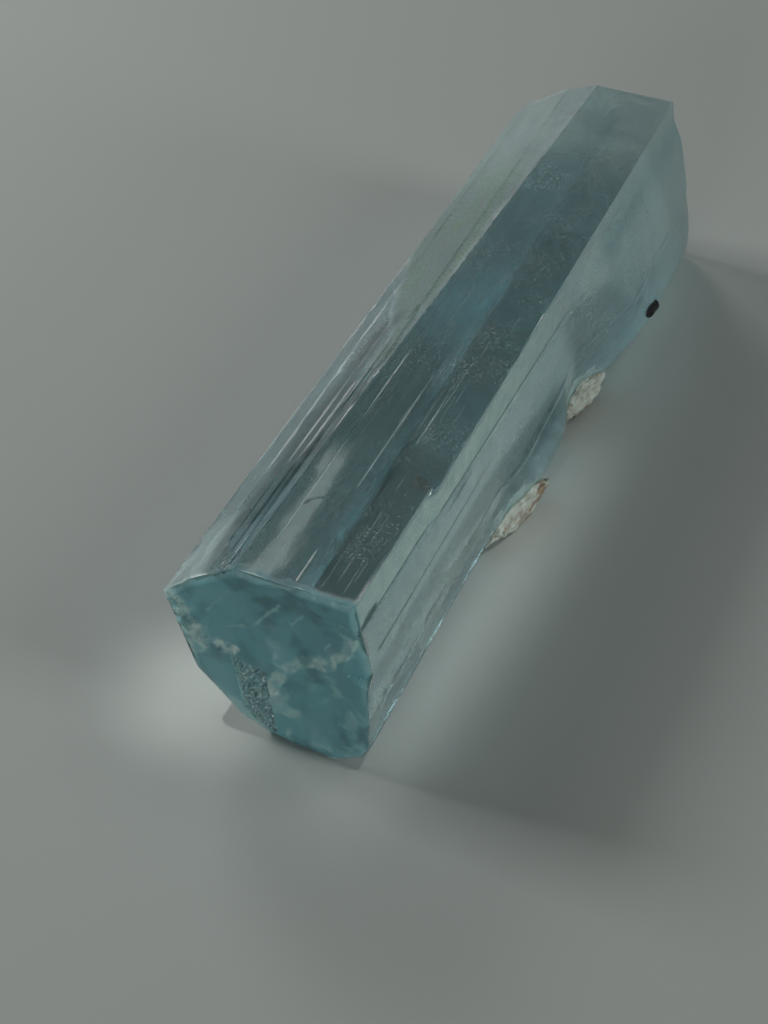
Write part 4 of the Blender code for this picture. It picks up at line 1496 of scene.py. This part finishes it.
# Soft boxes, aimed at the middle of the floor: place in metres and power
LAMP_SIZE = 0.11
LAMPS = {
    "main_window": ((-0.344, 0.0, 0.241), 0.56),
    "back_window": ((-0.243, 0.243, 0.241), 0.19),
    "low_back_window": ((-0.287, 0.287, 0.109), 0.115),
    "right_wall": ((0.406, 0.0, 0.109), 0.28),
    "right_screen": ((0.344, 0.0, 0.241), 0.17),
    "front_screen": ((0.0, -0.406, 0.109), 0.255),
    "high_corner": ((0.17, 0.17, 0.344), 0.05),
}


# Pools of light on the floor: middle, azimuth of the lamp, half length, half width, power
POOLS = {
    "right_pool": ((4.6, -10.0, 0.0), -4.0, 17.0, 2.2, 0.28),
    "left_pool": ((-4.7, -18.8, 0.0), 180.0, 4.4, 4.4, 0.4),
}
BEAM_ELEVATION = 72.0
BEAM_DISTANCE = 0.17
BEAM_SOURCE = 0.002
ROOM_LIGHT = {"Color": (0.5, 0.55, 0.55), "Strength": 0.02}


def make_light():
    for name, (place, power) in LAMPS.items():
        lamp = add_lamp(name, "AREA", power, Vector(place), -Vector(place))
        lamp.data.shape = "SQUARE"
        lamp.data.size = LAMP_SIZE
    for name, pool in POOLS.items():
        add_beam(name, *pool)
    world = bpy.data.worlds.new("room")
    world.use_nodes = True
    feed(world.node_tree, world.node_tree.nodes["Background"], ROOM_LIGHT)
    bpy.context.scene.world = world
    bpy.context.scene.view_settings.view_transform = "Standard"
    bpy.context.scene.cycles.use_denoising = True


CAMERA_PLACE = Vector((23.10, -61.76, 57.14)) * MM
CAMERA_FORWARD = Vector((-0.299, 0.668, -0.682))
CAMERA_LENS, CAMERA_SENSOR = 63.28, 36.0
CAMERA_CLIP = (0.001, 10.0)


def make_camera():
    data = bpy.data.cameras.new("camera")
    data.lens, data.sensor_width = CAMERA_LENS, CAMERA_SENSOR
    data.clip_start, data.clip_end = CAMERA_CLIP
    camera = add_object("camera", data)
    forward = CAMERA_FORWARD.normalized()
    right = forward.cross(Vector((0.0, 0.0, 1.0))).normalized()
    up = right.cross(forward)
    turned = Matrix((right, up, -forward)).transposed().to_4x4()
    turned.translation = CAMERA_PLACE
    camera.matrix_world = turned
    bpy.context.scene.camera = camera


make_camera()
make_light()
make_floor()
make_crystal()
make_crusts()
make_grain()
make_tubes()
make_veils()
